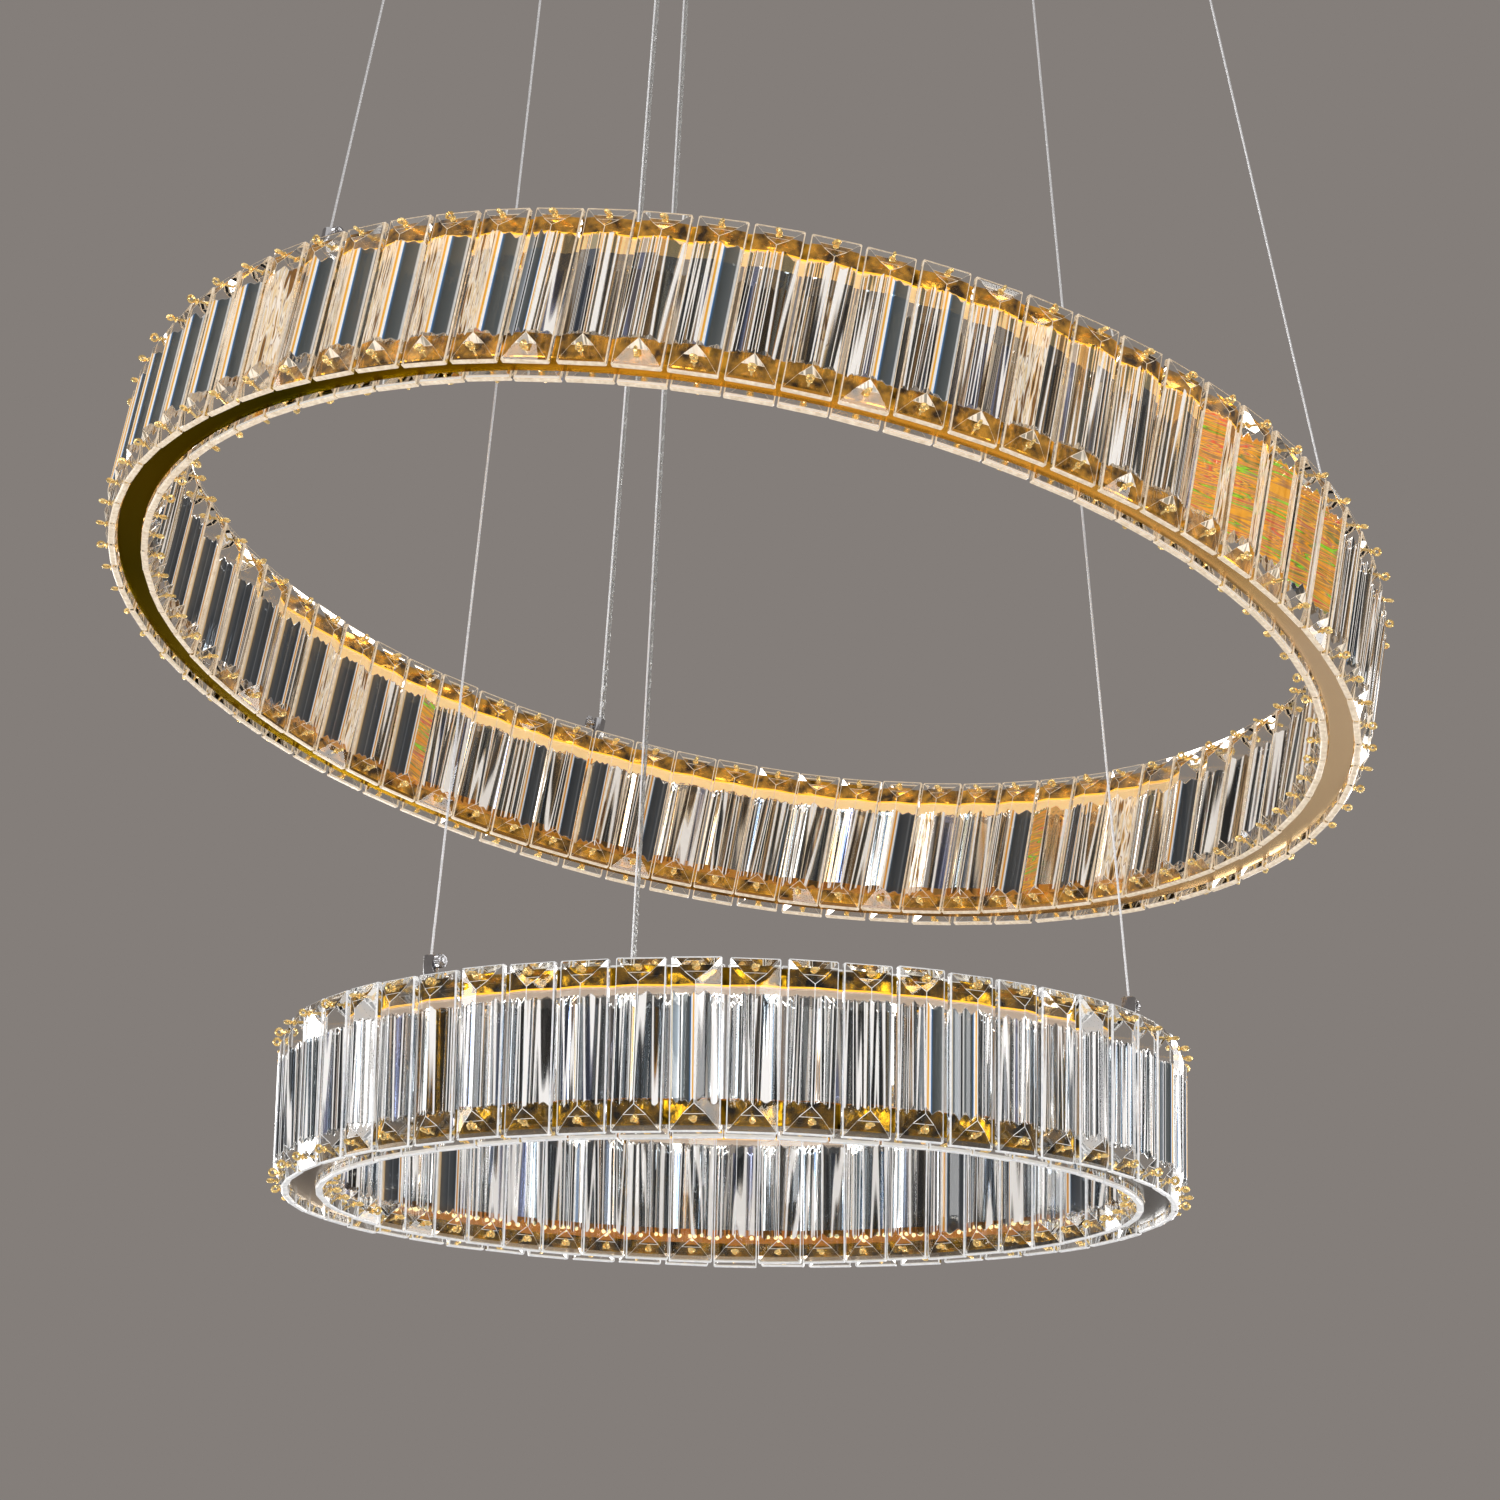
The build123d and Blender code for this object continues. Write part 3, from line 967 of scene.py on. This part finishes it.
@dataclass
class CrystalRing:
    """One crystal ring: its bands, light strips, posts, hangers, crystals and eye pins."""

    name: str
    warm: bool
    middle_radius: float
    grip_radius: float
    crystal_count: int
    first_crystal: float
    hanger_angles: tuple[float, ...]
    place: Place
    band_width: float = 12.0 * MM
    band_height: float = 10.5 * MM
    band_corner: float = 0.35 * MM
    band_arc: int = 3
    end_overhang: float = 3.7 * MM
    pin_inset: float = 5.0 * MM
    pin_reach: float = 8.4 * MM
    strip_width: float = 8.0 * MM
    strip_board: float = 0.35 * MM
    strip_corner: float = 0.1 * MM
    lip_height: float = 1.4 * MM
    lip_drop: float = 1.0 * MM
    lip_corner: float = 0.3 * MM
    glow_line: float = 0.7 * MM
    glow_inset: float = 0.15 * MM
    glow_depth: float = 0.4 * MM
    tape: float = 0.3 * MM
    tape_high: float = 2.3 * MM
    tape_low: float = 4.5 * MM
    rebate: float = 1.3 * MM
    chip_radius: float = 1.1 * MM
    chip_pitch: float = 5.0 * MM
    chip_stray: float = 0.9 * MM
    chip_shift: float = 0.25
    hanger_radius: float = 3.25 * MM
    hanger_height: float = 14.0 * MM
    post_radius: float = 2.5 * MM
    screw_radius: float = 3.15 * MM
    screw_neck: float = 1.2 * MM
    screw_head: float = 2.6 * MM
    screw_ribs: int = 24
    rib_depth: float = 0.28 * MM
    rib_end: float = 0.1 * MM
    lean_degrees: float = 0.35
    lift: float = 0.25 * MM
    pattern_places: int = 160
    seed: int = 7
    crystal: Crystal = field(default_factory=Crystal)
    pin: EyePin = field(default_factory=EyePin)

    @property
    def half_height(self) -> float:
        """Half the height over the two bands."""
        return self.crystal.height / 2 - self.end_overhang

    @property
    def inner_level(self) -> float:
        """The level of the top band's underside."""
        return self.half_height - self.band_height

    @property
    def cable_foot(self) -> float:
        """The level of a cable's foot in the ring's frame."""
        return self.half_height + self.hanger_height + SEAT_GAP

    @property
    def body(self) -> str:
        """The CAD body that the ring's pieces move with."""
        return f"{self.name}_ring"

    @property
    def steps(self) -> int:
        """The number of steps of every hoop round the ring."""
        return 4 * self.crystal_count

    def edge(self, row: Row, reach: float) -> float:
        """The radius that lies reach outside the bands, on the row's side of them."""
        return self.middle_radius + row.value * (self.band_width / 2 + reach)

    def angles(self) -> np.ndarray:
        """The middle of each crystal, in radians in the ring's own plane."""
        return math.radians(self.first_crystal) + TURN * np.arange(self.crystal_count) / self.crystal_count

    def facing(self, row: Row) -> np.ndarray:
        """A rotation for each crystal of a row that turns X away from the bands."""
        return about(2, self.angles() + (math.pi if row is Row.INNER else 0.0))

    def put(self, name: str, surface: Surface, finishes: Sequence[Material],
            shading: Shading = Shading.TURNED) -> bpy.types.Object:
        """Carry a surface from the ring's frame to the model's and make it ride on the ring."""
        return make_piece(f"{self.name}_{name}", surface.moved(self.place), finishes, self.body, shading)

    def rail(self, name: str, radii: tuple[float, float], levels: tuple[float, float], corner: float,
             finish: Material, shading: Shading = Shading.TURNED) -> bpy.types.Object:
        """Run a small rounded section round the ring, as a piece of a light strip."""
        section = rounded_box(radii, levels, corner, steps=2)
        return self.put(name, hoop(section, self.steps), [finish], shading)

    def build_bands(self, gold: Material, satin: Material) -> None:
        """Make the two gold hoops. The upper one ends in a lit lip; the lower one is rebated inside for its tape.

        Args:
            gold: the polished plate.
            satin: the plate of the lower hoop's underside, with its painted reflection.
        """
        low, high, c = self.edge(Row.INNER, 0.0), self.edge(Row.OUTER, 0.0), self.band_corner
        foot = self.inner_level + self.lip_drop + self.lip_height
        section = rounded_box((low, high), (foot, self.half_height), c, self.band_arc)
        top = self.put("top_hoop", hoop(section, self.steps), [gold])
        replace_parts(top, f"{self.name}_top_band")
        bottom, crest = -self.half_height, -self.inner_level
        ledge, wall = crest - self.tape_low, low + self.rebate
        section = np.array([(high - c, crest), (high, crest - c), (high, bottom + c), (high - c, bottom),
                            (low + c, bottom), (low, bottom + c), (low, ledge - c), (low + c, ledge), (wall, ledge),
                            (wall, crest - c), (wall + c, crest)])
        surface = hoop(section, self.steps)
        underside = np.arange(len(section)) == 3  # the face between the two lowest corners
        # The underside face takes the satin plate with its painted reflection
        surface.tones = np.tile(underside.astype(int), self.steps)
        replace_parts(self.put("bottom_hoop", surface, [gold, satin]), f"{self.name}_bottom_band")

    def build_strips(self, diffuser: Material, glow: Material, copper: Material, chip: Material | None) -> None:
        """Make the light strips: a lit lip under the top band, and a copper tape on the bottom band.

        Args:
            diffuser: the pale silicone of the lip.
            glow: the painted highlight, a glowing line along the lip's two edges.
            copper: the printed tape, which glows a little with painted light.
            chip: the light chips, or None where the tape lies too low to show any.
        """
        middle = self.middle_radius
        low, high = self.edge(Row.INNER, 0.0), self.edge(Row.OUTER, 0.0)
        foot = self.inner_level + self.lip_drop
        crown = foot + self.lip_height
        c = self.lip_corner
        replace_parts(self.rail("top_lit_lip", (low + c, high - c), (foot, crown), c, diffuser),
                    f"{self.name}_top_light_strip")
        # Painted highlight: a glowing line along each lower edge of the top band
        for row in reversed(Row):
            line = self.edge(row, -self.glow_inset)
            self.rail(f"top_{row.label}_glow", (line - self.glow_depth / 2, line + self.glow_depth / 2),
                      (crown - self.glow_line / 2, crown + self.glow_line / 2), self.strip_corner, glow,
                      Shading.FLOWING)
        crest = -self.inner_level
        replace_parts(self.rail("bottom_board", (middle - self.strip_width / 2, middle + self.strip_width / 2),
                              (crest, crest + self.strip_board), self.strip_corner, copper),
                    f"{self.name}_bottom_light_strip")
        wall = low + self.rebate
        rise = self.tape_high if chip else self.strip_board
        self.rail("bottom_tape", (wall - self.tape, wall), (crest - self.tape_low, crest + rise), self.strip_corner,
                  copper)
        if chip:
            self.build_chips(wall, crest + (self.tape_high - self.tape_low) / 2, chip)

    def build_chips(self, wall: float, level: float, chip: Material) -> None:
        """Set light chips along the inside of the tape, each a little off its place.

        Args:
            wall: the radius of the band's inner wall, on which the tape lies.
            level: the middle of the tape.
            chip: the chips' finish.
        """
        count = round(TURN * wall / self.chip_pitch)
        rng = np.random.default_rng(count)
        a = TURN * (np.arange(count) + rng.uniform(-self.chip_shift, self.chip_shift, count)) / count
        levels = level + rng.uniform(-self.chip_stray, self.chip_stray, count)
        dome = turned(outlined(self.chip_radius, (0.0,), CHIP), sides=8).moved(TO_MINUS_X)
        chips = repeat(dome, about(2, a), on_circle(wall - self.tape, a, levels))
        self.put("bottom_chips", chips, [chip], Shading.FLOWING)

    def build_crystals(self) -> None:
        """Hang two rows of bars. Each hangs a hair off true, as they do on their pins, and its edges are ground."""
        # The ground edges glow with painted light
        edge = GroundEdge(f"{self.name}_ground_edge", *(("#fff3df", "#b39a78") if self.warm else ())).material()
        angles, count, shape = self.angles(), self.crystal_count, self.crystal.shape()
        rng = np.random.default_rng(self.seed + count)
        for row in Row:
            lean = about(0, np.radians(rng.normal(0, self.lean_degrees, count)))
            spots = on_circle(self.edge(row, SEAT_GAP), angles, rng.normal(0, self.lift, count))
            bars = repeat(shape, self.facing(row) @ lean, spots)
            shift = CutCrystal.bar_mm * MM * rng.integers(0, self.pattern_places, count)[:, None]
            skew = CutCrystal.ridge_mm * MM / self.crystal.depth
            bars.flat = np.stack([(shape.points[None, :, 1] + skew * shape.points[None, :, 0] + shift).ravel(),
                                  np.tile(shape.points[:, 2], count)], axis=-1)
            bars.tones = bars.tones.reshape(count, -1)
            bars.tones[:, -2:] = self.cuts(rng.random((count, 2)), row)
            bars.tones = bars.tones.ravel()
            piece = self.put(f"{row.label}_bars", bars, self.glass(row, edge), Shading.CUT)
            self.grind(piece)
            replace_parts(piece, f"{self.name}_{row.label}_crystals")

    def glass(self, row: Row, edge: Material) -> list[Material]:
        """Build the finishes of a row's bars, with their painted reflections and painted highlights.

        Args:
            row: the row of bars.
            edge: the finish of their ground edges.

        Returns:
            The materials, in the order of the bars' material numbers.
        """
        look = ROW_LOOKS[self.warm, row]
        lined = CutCrystal(f"{self.name}_{row.label}_crystal", self.warm, look.line_mm, look.plain_above_mm,
                           look.plain_below_mm)
        clear = lined.material()
        # The warm ring's outer bars carry the painted highlight on their lower tips
        tip = FacetTip().material() if self.warm and row is Row.OUTER else clear
        # The slate, amber and cream painted reflections glow as painted light
        others = (
            (Cut.CLEAR, "back", {"ground_below_mm": self.crystal.height / 2 / MM - look.ground_mm}),
            (Cut.SLATE, "slate", {"glow": look.slate_glow, "deep": look.deep_slate}),
            (Cut.AMBER, "amber", {"glow": 0.55}),
            (Cut.CREAM, "cream", {"glow": 0.5}),
        )
        return [clear, edge, tip, *(replace(lined, name=f"{lined.name}_{name}", cut=cut, **changes).material()
                                    for cut, name, changes in others)]

    def grind(self, piece: bpy.types.Object) -> None:
        """Bevel the edges of a row of bars, each by the share that its two corners give.

        Args:
            piece: the row's object.
        """
        mesh = piece.data
        ends = np.zeros(2 * len(mesh.edges), np.int32)
        mesh.edges.foreach_get("vertices", ends)
        weights = self.crystal.weights()
        ends = ends.reshape(-1, 2) % len(weights)
        layer = mesh.attributes.new("bevel_weight_edge", "FLOAT", "EDGE")
        layer.data.foreach_set("value", weights[ends[:, 0], ends[:, 1]].astype(np.float32))
        bevel = piece.modifiers.new("ground_edges", "BEVEL")
        bevel.limit_method = "WEIGHT"
        bevel.width = self.crystal.arris
        bevel.segments = 1
        bevel.material = 1

    def cuts(self, draw: np.ndarray, row: Row) -> np.ndarray:
        """Choose which painted reflection each long facet shows, at random with odds that change round the ring.

        Args:
            draw: one number between 0 and 1 for each bar and each of its two long facets.
            row: the row of bars.

        Returns:
            The material number of each facet.
        """
        turn = (np.degrees(self.angles()) + 180) % 360 - 180
        odds = np.zeros((3, *draw.shape)) + np.reshape(ALL_ROUND[self.warm], (3, 1, 1))
        for arc in WARM_ARCS if self.warm else ():
            if arc.row is row:
                there = (turn > arc.start) & (turn < arc.end)
                odds[:, there] = np.array([arc.slate, arc.amber, arc.cream])[:, None]
        passed = np.sum(draw >= np.cumsum(odds, axis=0), axis=0)
        return np.array([cut.value for cut in (Cut.SLATE, Cut.AMBER, Cut.CREAM, Cut.LINED)])[passed]

    def build_pins(self, gold: Material) -> None:
        """Put an eye pin through both ends of every crystal, each eye turned its own way about its stem.

        Args:
            gold: the wire's finish.
        """
        rng = np.random.default_rng(self.crystal_count)
        level = self.crystal.height / 2 - self.pin_inset
        shape = self.pin.shape()
        for row in Row:
            for end, z in (("top", level), ("bottom", -level)):
                spin = about(0, rng.uniform(0, math.pi, self.crystal_count))
                spots = on_circle(self.edge(row, self.pin_reach), self.angles(), z)
                self.put(f"{row.label}_{end}_pins", repeat(shape, self.facing(row) @ spin, spots), [gold],
                         Shading.FLOWING)

    def build_hangers(self, nickel: Material, gold: Material) -> None:
        """Make the barrels, the thumb screws with ribbed heads, and the posts between the bands.

        Args:
            nickel: the finish of barrels and screws.
            gold: the finish of the posts.
        """
        bottom, end = self.half_height, self.inner_level
        top = bottom + self.hanger_height
        barrel = turned(outlined(self.hanger_radius, (bottom, top), BARREL), sides=40)
        post = turned([(self.post_radius, -end), (self.post_radius, end)], sides=28)
        neck = self.hanger_radius + self.screw_neck
        face = neck + self.screw_head
        screw = turned(outlined(self.screw_radius, (0.0, neck, face), SCREW), 3 * self.screw_ribs, self.screw_ribs,
                       self.rib_depth, (neck + self.rib_end, face - self.rib_end))
        screw = screw.moved(Place.at(z=top - self.screw_radius).then(TO_PLUS_Y))
        spots = [Place.at().around(angle, self.middle_radius) for angle in self.hanger_angles]
        for index, spot in enumerate(spots):
            node = f"{self.name}_thumb_screw_{index + 1}"
            piece = make_piece(f"{node}_ribbed", screw.moved(spot).moved(self.place), [nickel], node)
            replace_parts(piece, node)
        barrels, posts = (join([shape.moved(spot) for spot in spots]) for shape in (barrel, post))
        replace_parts(self.put("barrels", barrels, [nickel]), f"{self.name}_hangers")
        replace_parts(self.put("rods", posts, [gold]), f"{self.name}_posts")


@dataclass(frozen=True)
class Lay:
    """How a stranded line is made: its radius, number of strands, the grooves between them, and its mesh step."""

    radius: float
    strands: int
    groove: float
    step: float
    length: float = 9.0 * MM
    lead: float = 12.0

    def tube(self, line: np.ndarray) -> Surface:
        """Carry a lobed section along a line, turning it by one lay as it goes.

        The section's radius at angle b is radius (1 - groove (1 - cos(strands b)) / 2), and it turns by
        2 pi s / length after the length s of the line.

        Args:
            line: points along the line.

        Returns:
            The closed surface.
        """
        along = np.concatenate([[0], np.cumsum(np.linalg.norm(np.diff(line, axis=0), axis=1))])
        s = np.linspace(0, along[-1], max(2, int(along[-1] / self.step)))
        centre = np.stack([np.interp(s, along, line[:, k]) for k in range(3)], axis=-1)
        way = np.gradient(centre, s, axis=0)
        way /= np.linalg.norm(way, axis=1, keepdims=True)
        side = np.cross(way, np.array([0.0, 1.0, 0.0]))
        side /= np.linalg.norm(side, axis=1, keepdims=True)
        up = np.cross(way, side)
        b = np.linspace(0, TURN, 2 * self.strands, endpoint=False)
        reach = (self.radius * (1 - self.groove * (1 - np.cos(self.strands * b)) / 2))[None, :, None]
        twist = ((TURN * s / self.length)[:, None] + b[None, :])[..., None]
        points = (centre[:, None, :] + reach * np.cos(twist) * side[:, None, :]
                  + reach * np.sin(twist) * up[:, None, :])
        return capped_tube(points, centre[0], centre[-1])


@dataclass
class Suspension:
    """The cables and the power cord of one ring, from its barrels up to the canopy's grippers."""

    ring: CrystalRing
    grip_angles: tuple[float, ...] = (-134.3, 105.7, -14.3)
    gripper_level: float = -30.0 * MM
    gripper_height: float = 16.0 * MM
    gripper_radius: float = 5.0 * MM
    release_radius: float = 2.5 * MM
    release_reach: float = 10.0 * MM
    release_depth: float = 6.0 * MM
    release_room: float = 2.05 * MM
    cord_spacing: float = 1.6 * MM
    parting_drop: float = 100.0 * MM
    gland_offset: float = 14.0 * MM
    gland_height: float = 8.0 * MM
    lift: float = 0.3
    corded: int = 1
    cable: Lay = Lay(0.6 * MM, 6, 0.18, 1.5 * MM)
    cord: Lay = Lay(0.9 * MM, 2, 0.12, 3.0 * MM)

    @property
    def nozzle_level(self) -> float:
        """The level of the release nozzles' tips."""
        return self.gripper_level - self.gripper_height - self.release_reach

    def route(self, name: str, points: Sequence[np.ndarray]) -> np.ndarray:
        """Read a smooth line from its few control points.

        Args:
            name: the line's name.
            points: its control points in the model's frame.

        Returns:
            Points along the line's curve, from the first control point to the last.
        """
        data = bpy.data.curves.new(name, "CURVE")
        data.dimensions = "3D"
        data.resolution_u = 48
        line = data.splines.new("NURBS")
        line.points.add(len(points) - 1)
        line.points.foreach_set("co", np.hstack([np.array(points), np.ones((len(points), 1))]).ravel())
        line.order_u = 3
        line.use_endpoint_u = True
        holder = add_object(name, data)
        read = bpy.data.meshes.new_from_object(holder)
        found = np.zeros(3 * len(read.vertices))
        read.vertices.foreach_get("co", found)
        bpy.data.objects.remove(holder)
        return found.reshape(-1, 3)

    def build_cables(self, steel: Material) -> None:
        """Hang three stranded steel cables, straight from barrel to nozzle.

        Args:
            steel: the strands' finish.
        """
        ring, radius = self.ring, self.cable.radius
        for index, (low_angle, high_angle) in enumerate(zip(ring.hanger_angles, self.grip_angles)):
            low = ring.place.around(low_angle, ring.middle_radius).world(np.array([0, 0, ring.cable_foot]))
            high = Place.at().around(high_angle, ring.grip_radius).world(
                np.array([0, 0, self.nozzle_level - SEAT_GAP]))
            near = low + (high - low) * self.cable.lead * radius / np.linalg.norm(high - low)
            self.hang(f"{ring.name}_cable_{index + 1}", (low, near, high), self.cable, steel)

    def build_cord(self, clear: Material) -> None:
        """Hang the clear power cord: beside its cable, then parted from it towards its own gland.

        Args:
            clear: the sheath's finish.
        """
        ring = self.ring
        beside = Place.at(y=-self.cord_spacing)
        low = ring.place.around(ring.hanger_angles[self.corded], ring.middle_radius).then(beside).world(
            np.array([0, 0, ring.cable_foot]))
        grip = Place.at().around(self.grip_angles[self.corded], ring.grip_radius)
        nozzle = grip.then(beside).world(np.array([0, 0, self.nozzle_level]))
        parting = nozzle + (low - nozzle) * self.parting_drop / (nozzle[2] - low[2])
        top = grip.world(np.array([0, -self.gland_offset, self.gripper_level - self.gland_height - SEAT_GAP]))
        run = (parting - low) / np.linalg.norm(parting - low)
        points = (low, low + run * self.cord.lead * self.cord.radius, parting - run * np.linalg.norm(top - parting),
                  parting, top)
        self.hang(f"{ring.name}_power_cord", points, self.cord, clear)

    def hang(self, node: str, points: Sequence[np.ndarray], lay: Lay, finish: Material) -> None:
        """Args:
            node: the CAD node's name.
            points: control points from the ring up to the canopy.
            lay: how the line is made.
            finish: its material.
        """
        line = self.route(f"{node}_line", points)
        piece = make_piece(f"{node}_strands", lay.tube(line), [finish], "canopy", Shading.FLOWING)
        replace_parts(piece, node)
        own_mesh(piece)

    def build_grippers(self, nickel: Material) -> None:
        """Make three grippers under the canopy, each a turned body and a release that slides in it.

        Args:
            nickel: the finish of both.
        """
        top = self.gripper_level
        low = top - self.gripper_height
        inside = low + self.release_depth
        body = turned(outlined(self.gripper_radius, (low, top, inside + self.release_room), GRIPPER), sides=48)
        release = turned(outlined(self.release_radius, (self.nozzle_level, inside), RELEASE), sides=36)
        for index, angle in enumerate(self.grip_angles):
            spot = Place.at().around(angle, self.ring.grip_radius)
            for part, shape, owner in (("gripper", body, "canopy"),
                                       ("release", release, f"{self.ring.name}_release_{index + 1}")):
                node = f"{self.ring.name}_{part}_{index + 1}"
                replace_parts(make_piece(f"{node}_turned", shape.moved(spot), [nickel], owner), node)


@dataclass(frozen=True)
class Studio:
    """A plain backdrop, a pale floor, soft tall lights, and the camera where the photograph was taken from."""

    camera_place: tuple[float, float, float] = (5.0 * MM, -2057.2 * MM, -1463.1 * MM)
    camera_pitch: float = 14.36
    camera_roll: float = 1.2
    lens_mm: float = 108.0
    sensor_mm: float = 36.0
    backdrop: str = "#847e7a"
    floor: str = "#c9c5c1"
    floor_level: float = -2.4
    floor_reach: float = 30.0
    strip_azimuths: tuple[float, ...] = (-164, -149, -131, -108, -84, -61, -40, -19, 13, 35, 57, 82, 110, 133, 151,
                                         166)
    strip_distance: float = 2.6
    strip_level: float = -1.3
    strip_size: tuple[float, float] = (0.2, 1.9)
    strip_power: float = 7.5
    overhead_level: float = 2.2
    overhead_size: tuple[float, float] = (4.0, 4.0)
    overhead_power: float = 30.0

    def build_camera(self) -> None:
        """Aim along +Y, tipped up by the pitch and rolled about the line of sight."""
        data = bpy.data.cameras.new("camera")
        data.lens = self.lens_mm
        data.sensor_width = self.sensor_mm
        camera = add_object("camera", data)
        aim = (Matrix.Rotation(math.radians(90 + self.camera_pitch), 4, "X")
               @ Matrix.Rotation(math.radians(self.camera_roll), 4, "Z"))
        camera.matrix_world = Matrix.Translation(self.camera_place) @ aim
        bpy.context.scene.camera = camera

    def build_room(self) -> None:
        """A plain world for the backdrop, and a wide floor far below the light."""
        scene = bpy.context.scene
        scene.view_settings.view_transform = "Standard"
        world = bpy.data.worlds.new("studio")
        scene.world = world
        world.use_nodes = True
        tree = world.node_tree
        tree.nodes.clear()
        back = add_node(tree, "ShaderNodeBackground", inputs={"Color": self.backdrop, "Strength": 1.0})
        add_node(tree, "ShaderNodeOutputWorld", inputs={"Surface": back.outputs["Background"]})
        mesh = bpy.data.meshes.new("floor")
        r = self.floor_reach
        mesh.from_pydata([(x, y, self.floor_level) for x, y in ((-r, -r), (r, -r), (r, r), (-r, r))], [],
                         [(0, 1, 2, 3)])
        mesh.materials.append(Moulded("pale_floor_paint", self.floor, self.floor, 0.8, 40.0).material())
        add_object("floor", mesh)

    def build_lights(self) -> None:
        """Tall narrow soft boxes in a wide circle, all facing the axis, and one overhead."""
        for number, azimuth in enumerate(self.strip_azimuths):
            a = math.radians(azimuth)
            place = (self.strip_distance * math.sin(a), -self.strip_distance * math.cos(a), self.strip_level)
            self.box(f"strip_{number}", place, self.strip_size, (math.radians(90), 0, a), self.strip_power)
        self.box("overhead", (0.0, 0.0, self.overhead_level), self.overhead_size, (0, 0, 0), self.overhead_power)

    def box(self, name: str, place: tuple[float, float, float], size: tuple[float, float],
            turn: tuple[float, float, float], power: float) -> None:
        """Set up one rectangular soft light.

        Args:
            name: the light's name.
            place: its middle in metres.
            size: its width and height in metres.
            turn: its rotation about X, Y and Z in radians.
            power: its power in watts.
        """
        data = bpy.data.lights.new(name, "AREA")
        data.shape = "RECTANGLE"
        data.size, data.size_y = size
        data.energy = power
        light = add_object(name, data)
        light.location = place
        light.rotation_euler = turn


def build_ring(ring: CrystalRing, steel: Material, clear: Material) -> None:
    """Build one ring with all that it hangs on, in warm or in cool finishes.

    Args:
        ring: the ring.
        steel: the cables' finish.
        clear: the power cord's finish.
    """
    name, warm = ring.name, ring.warm
    hanging = Suspension(ring)
    hanging.build_cables(steel)
    hanging.build_cord(clear)
    LOG.info("%s cables and cord", name)
    nickel = Metal(f"{name}_turned_nickel", "#cfcfd2", "#b2b2b6", 0.14, 2.0, 0.02).material()
    hanging.build_grippers(nickel)
    LOG.info("%s grippers", name)
    if warm:
        plate, silicone, tape = ("#f0b03c", "#3e2806"), ("#ffe0a4", "#f9ac40"), ("#e09a2c", "#a8640c")
    else:
        plate, silicone, tape = ("#ba8c18", "#140e02"), ("#e8d3c0", "#d8c0aa"), ("#dc8a22", "#8e540a")
    # Painted light: the polished gold glows with the strips' light, and its strong dark patches are painted dark
    # reflections over a random drift of tone
    gold = Metal(f"{name}_polished_gold_plate", *plate, 0.12, 6.0, wave_mm=0.35, contrast=3.2,
                 glow=0.34 if warm else 0.11).material()
    # Painted reflection on the lower hoop's underside: on the warm ring its tone follows set stops round the ring; on
    # the cool ring a seeded high-contrast drift makes it dark on one side and pale on the other
    satin = Metal(f"{name}_satin_gold_plate", "#ffe2bc", "#2c1f08", 0.24, 320.0, wave_mm=0.02, contrast=4.0,
                  seed=0.7, drift=UNDERSIDE_REFLECTION if warm else (), rim="#dedab4" if warm else WHITE).material()
    ring.build_bands(gold, satin)
    # Painted highlight: the gold wire of the pins glows a little
    ring.build_pins(Metal(f"{name}_gold_wire", "#ffe7ac", "#d9ac4c", 0.16, 3.0, glow=0.22).material())
    ring.build_hangers(nickel, gold)
    LOG.info("%s bands, pins and hangers", name)
    ring.build_strips(
        Moulded(f"{name}_strip_silicone", *silicone, 0.45, 9.0, glow=0.65 if warm else 0.35).material(),
        # Painted highlight line along the top band's lower edges
        Moulded(f"{name}_lit_edge", "#ffc22e", "#ffb020", 0.4, 3.0, glow=1.1).material(),
        # Painted light: the tape glows a little, as if lit by its chips
        Moulded(f"{name}_copper_tape", *tape, 0.3, 3.0, glow=0.25).material(),
        None if warm else Moulded(f"{name}_light_chip", "#fff0b8", "#ffe9a0", 0.3, 1.0, glow=1.2).material())
    ring.build_crystals()
    LOG.info("%s light strips and crystals", name)


def main() -> None:
    """Build the light and the studio round it."""
    logging.basicConfig(level=logging.INFO, format="%(message)s")
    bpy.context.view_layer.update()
    studio = Studio()
    studio.build_camera()
    rings = (
        CrystalRing("upper", warm=True, middle_radius=289.0 * MM, grip_radius=117.4 * MM, crystal_count=78,
                    first_crystal=-1.55, hanger_angles=(-132.8, 106.3, 0.9),
                    place=hung(865.7 * MM, tilt=12.65, low_side=44.1)),
        CrystalRing("lower", warm=False, middle_radius=196.0 * MM, grip_radius=90.9 * MM, crystal_count=53,
                    first_crystal=0.86, hanger_angles=(-132.0, 106.25, -26.0),
                    place=hung(1116.0 * MM, tilt=0.0, low_side=0.0)),
    )
    # Painted highlight: the cables glow a little, as if lit along their strands
    steel = Metal("stranded_steel", "#f4f4f4", "#c4c4c8", 0.45, 0.8, glow=0.28).material()
    clear = Moulded("clear_cord_sheath", "#f4f4f2", "#dcdcda", 0.12, 3.0, clear=0.5).material()
    for ring in rings:
        build_ring(ring, steel, clear)
    canopy = Metal("satin_gold_canopy", "#dcb25c", "#cfa24c", 0.32, 1.2).material()
    zinc = Metal("zinc_plated_steel", "#a9abad", "#8d8f92", 0.4, 4.0).material()
    white = Moulded("moulded_polycarbonate", "#e9e8e4", "#dfdeda", 0.45).material()
    gland = Moulded("clear_nylon_gland", "#e8e8e4", "#d2d2ce", 0.3, clear=0.3).material()
    for node, finish in (("canopy_cover", canopy), ("canopy_nuts", canopy), ("mounting_plate", zinc),
                         ("mount_studs", zinc), ("driver_upper", white), ("driver_lower", white),
                         ("terminal_block", white), ("cord_glands", gland)):
        dress(node, finish)
    LOG.info("canopy")
    studio.build_room()
    studio.build_lights()


if __name__ == "__main__":
    main()
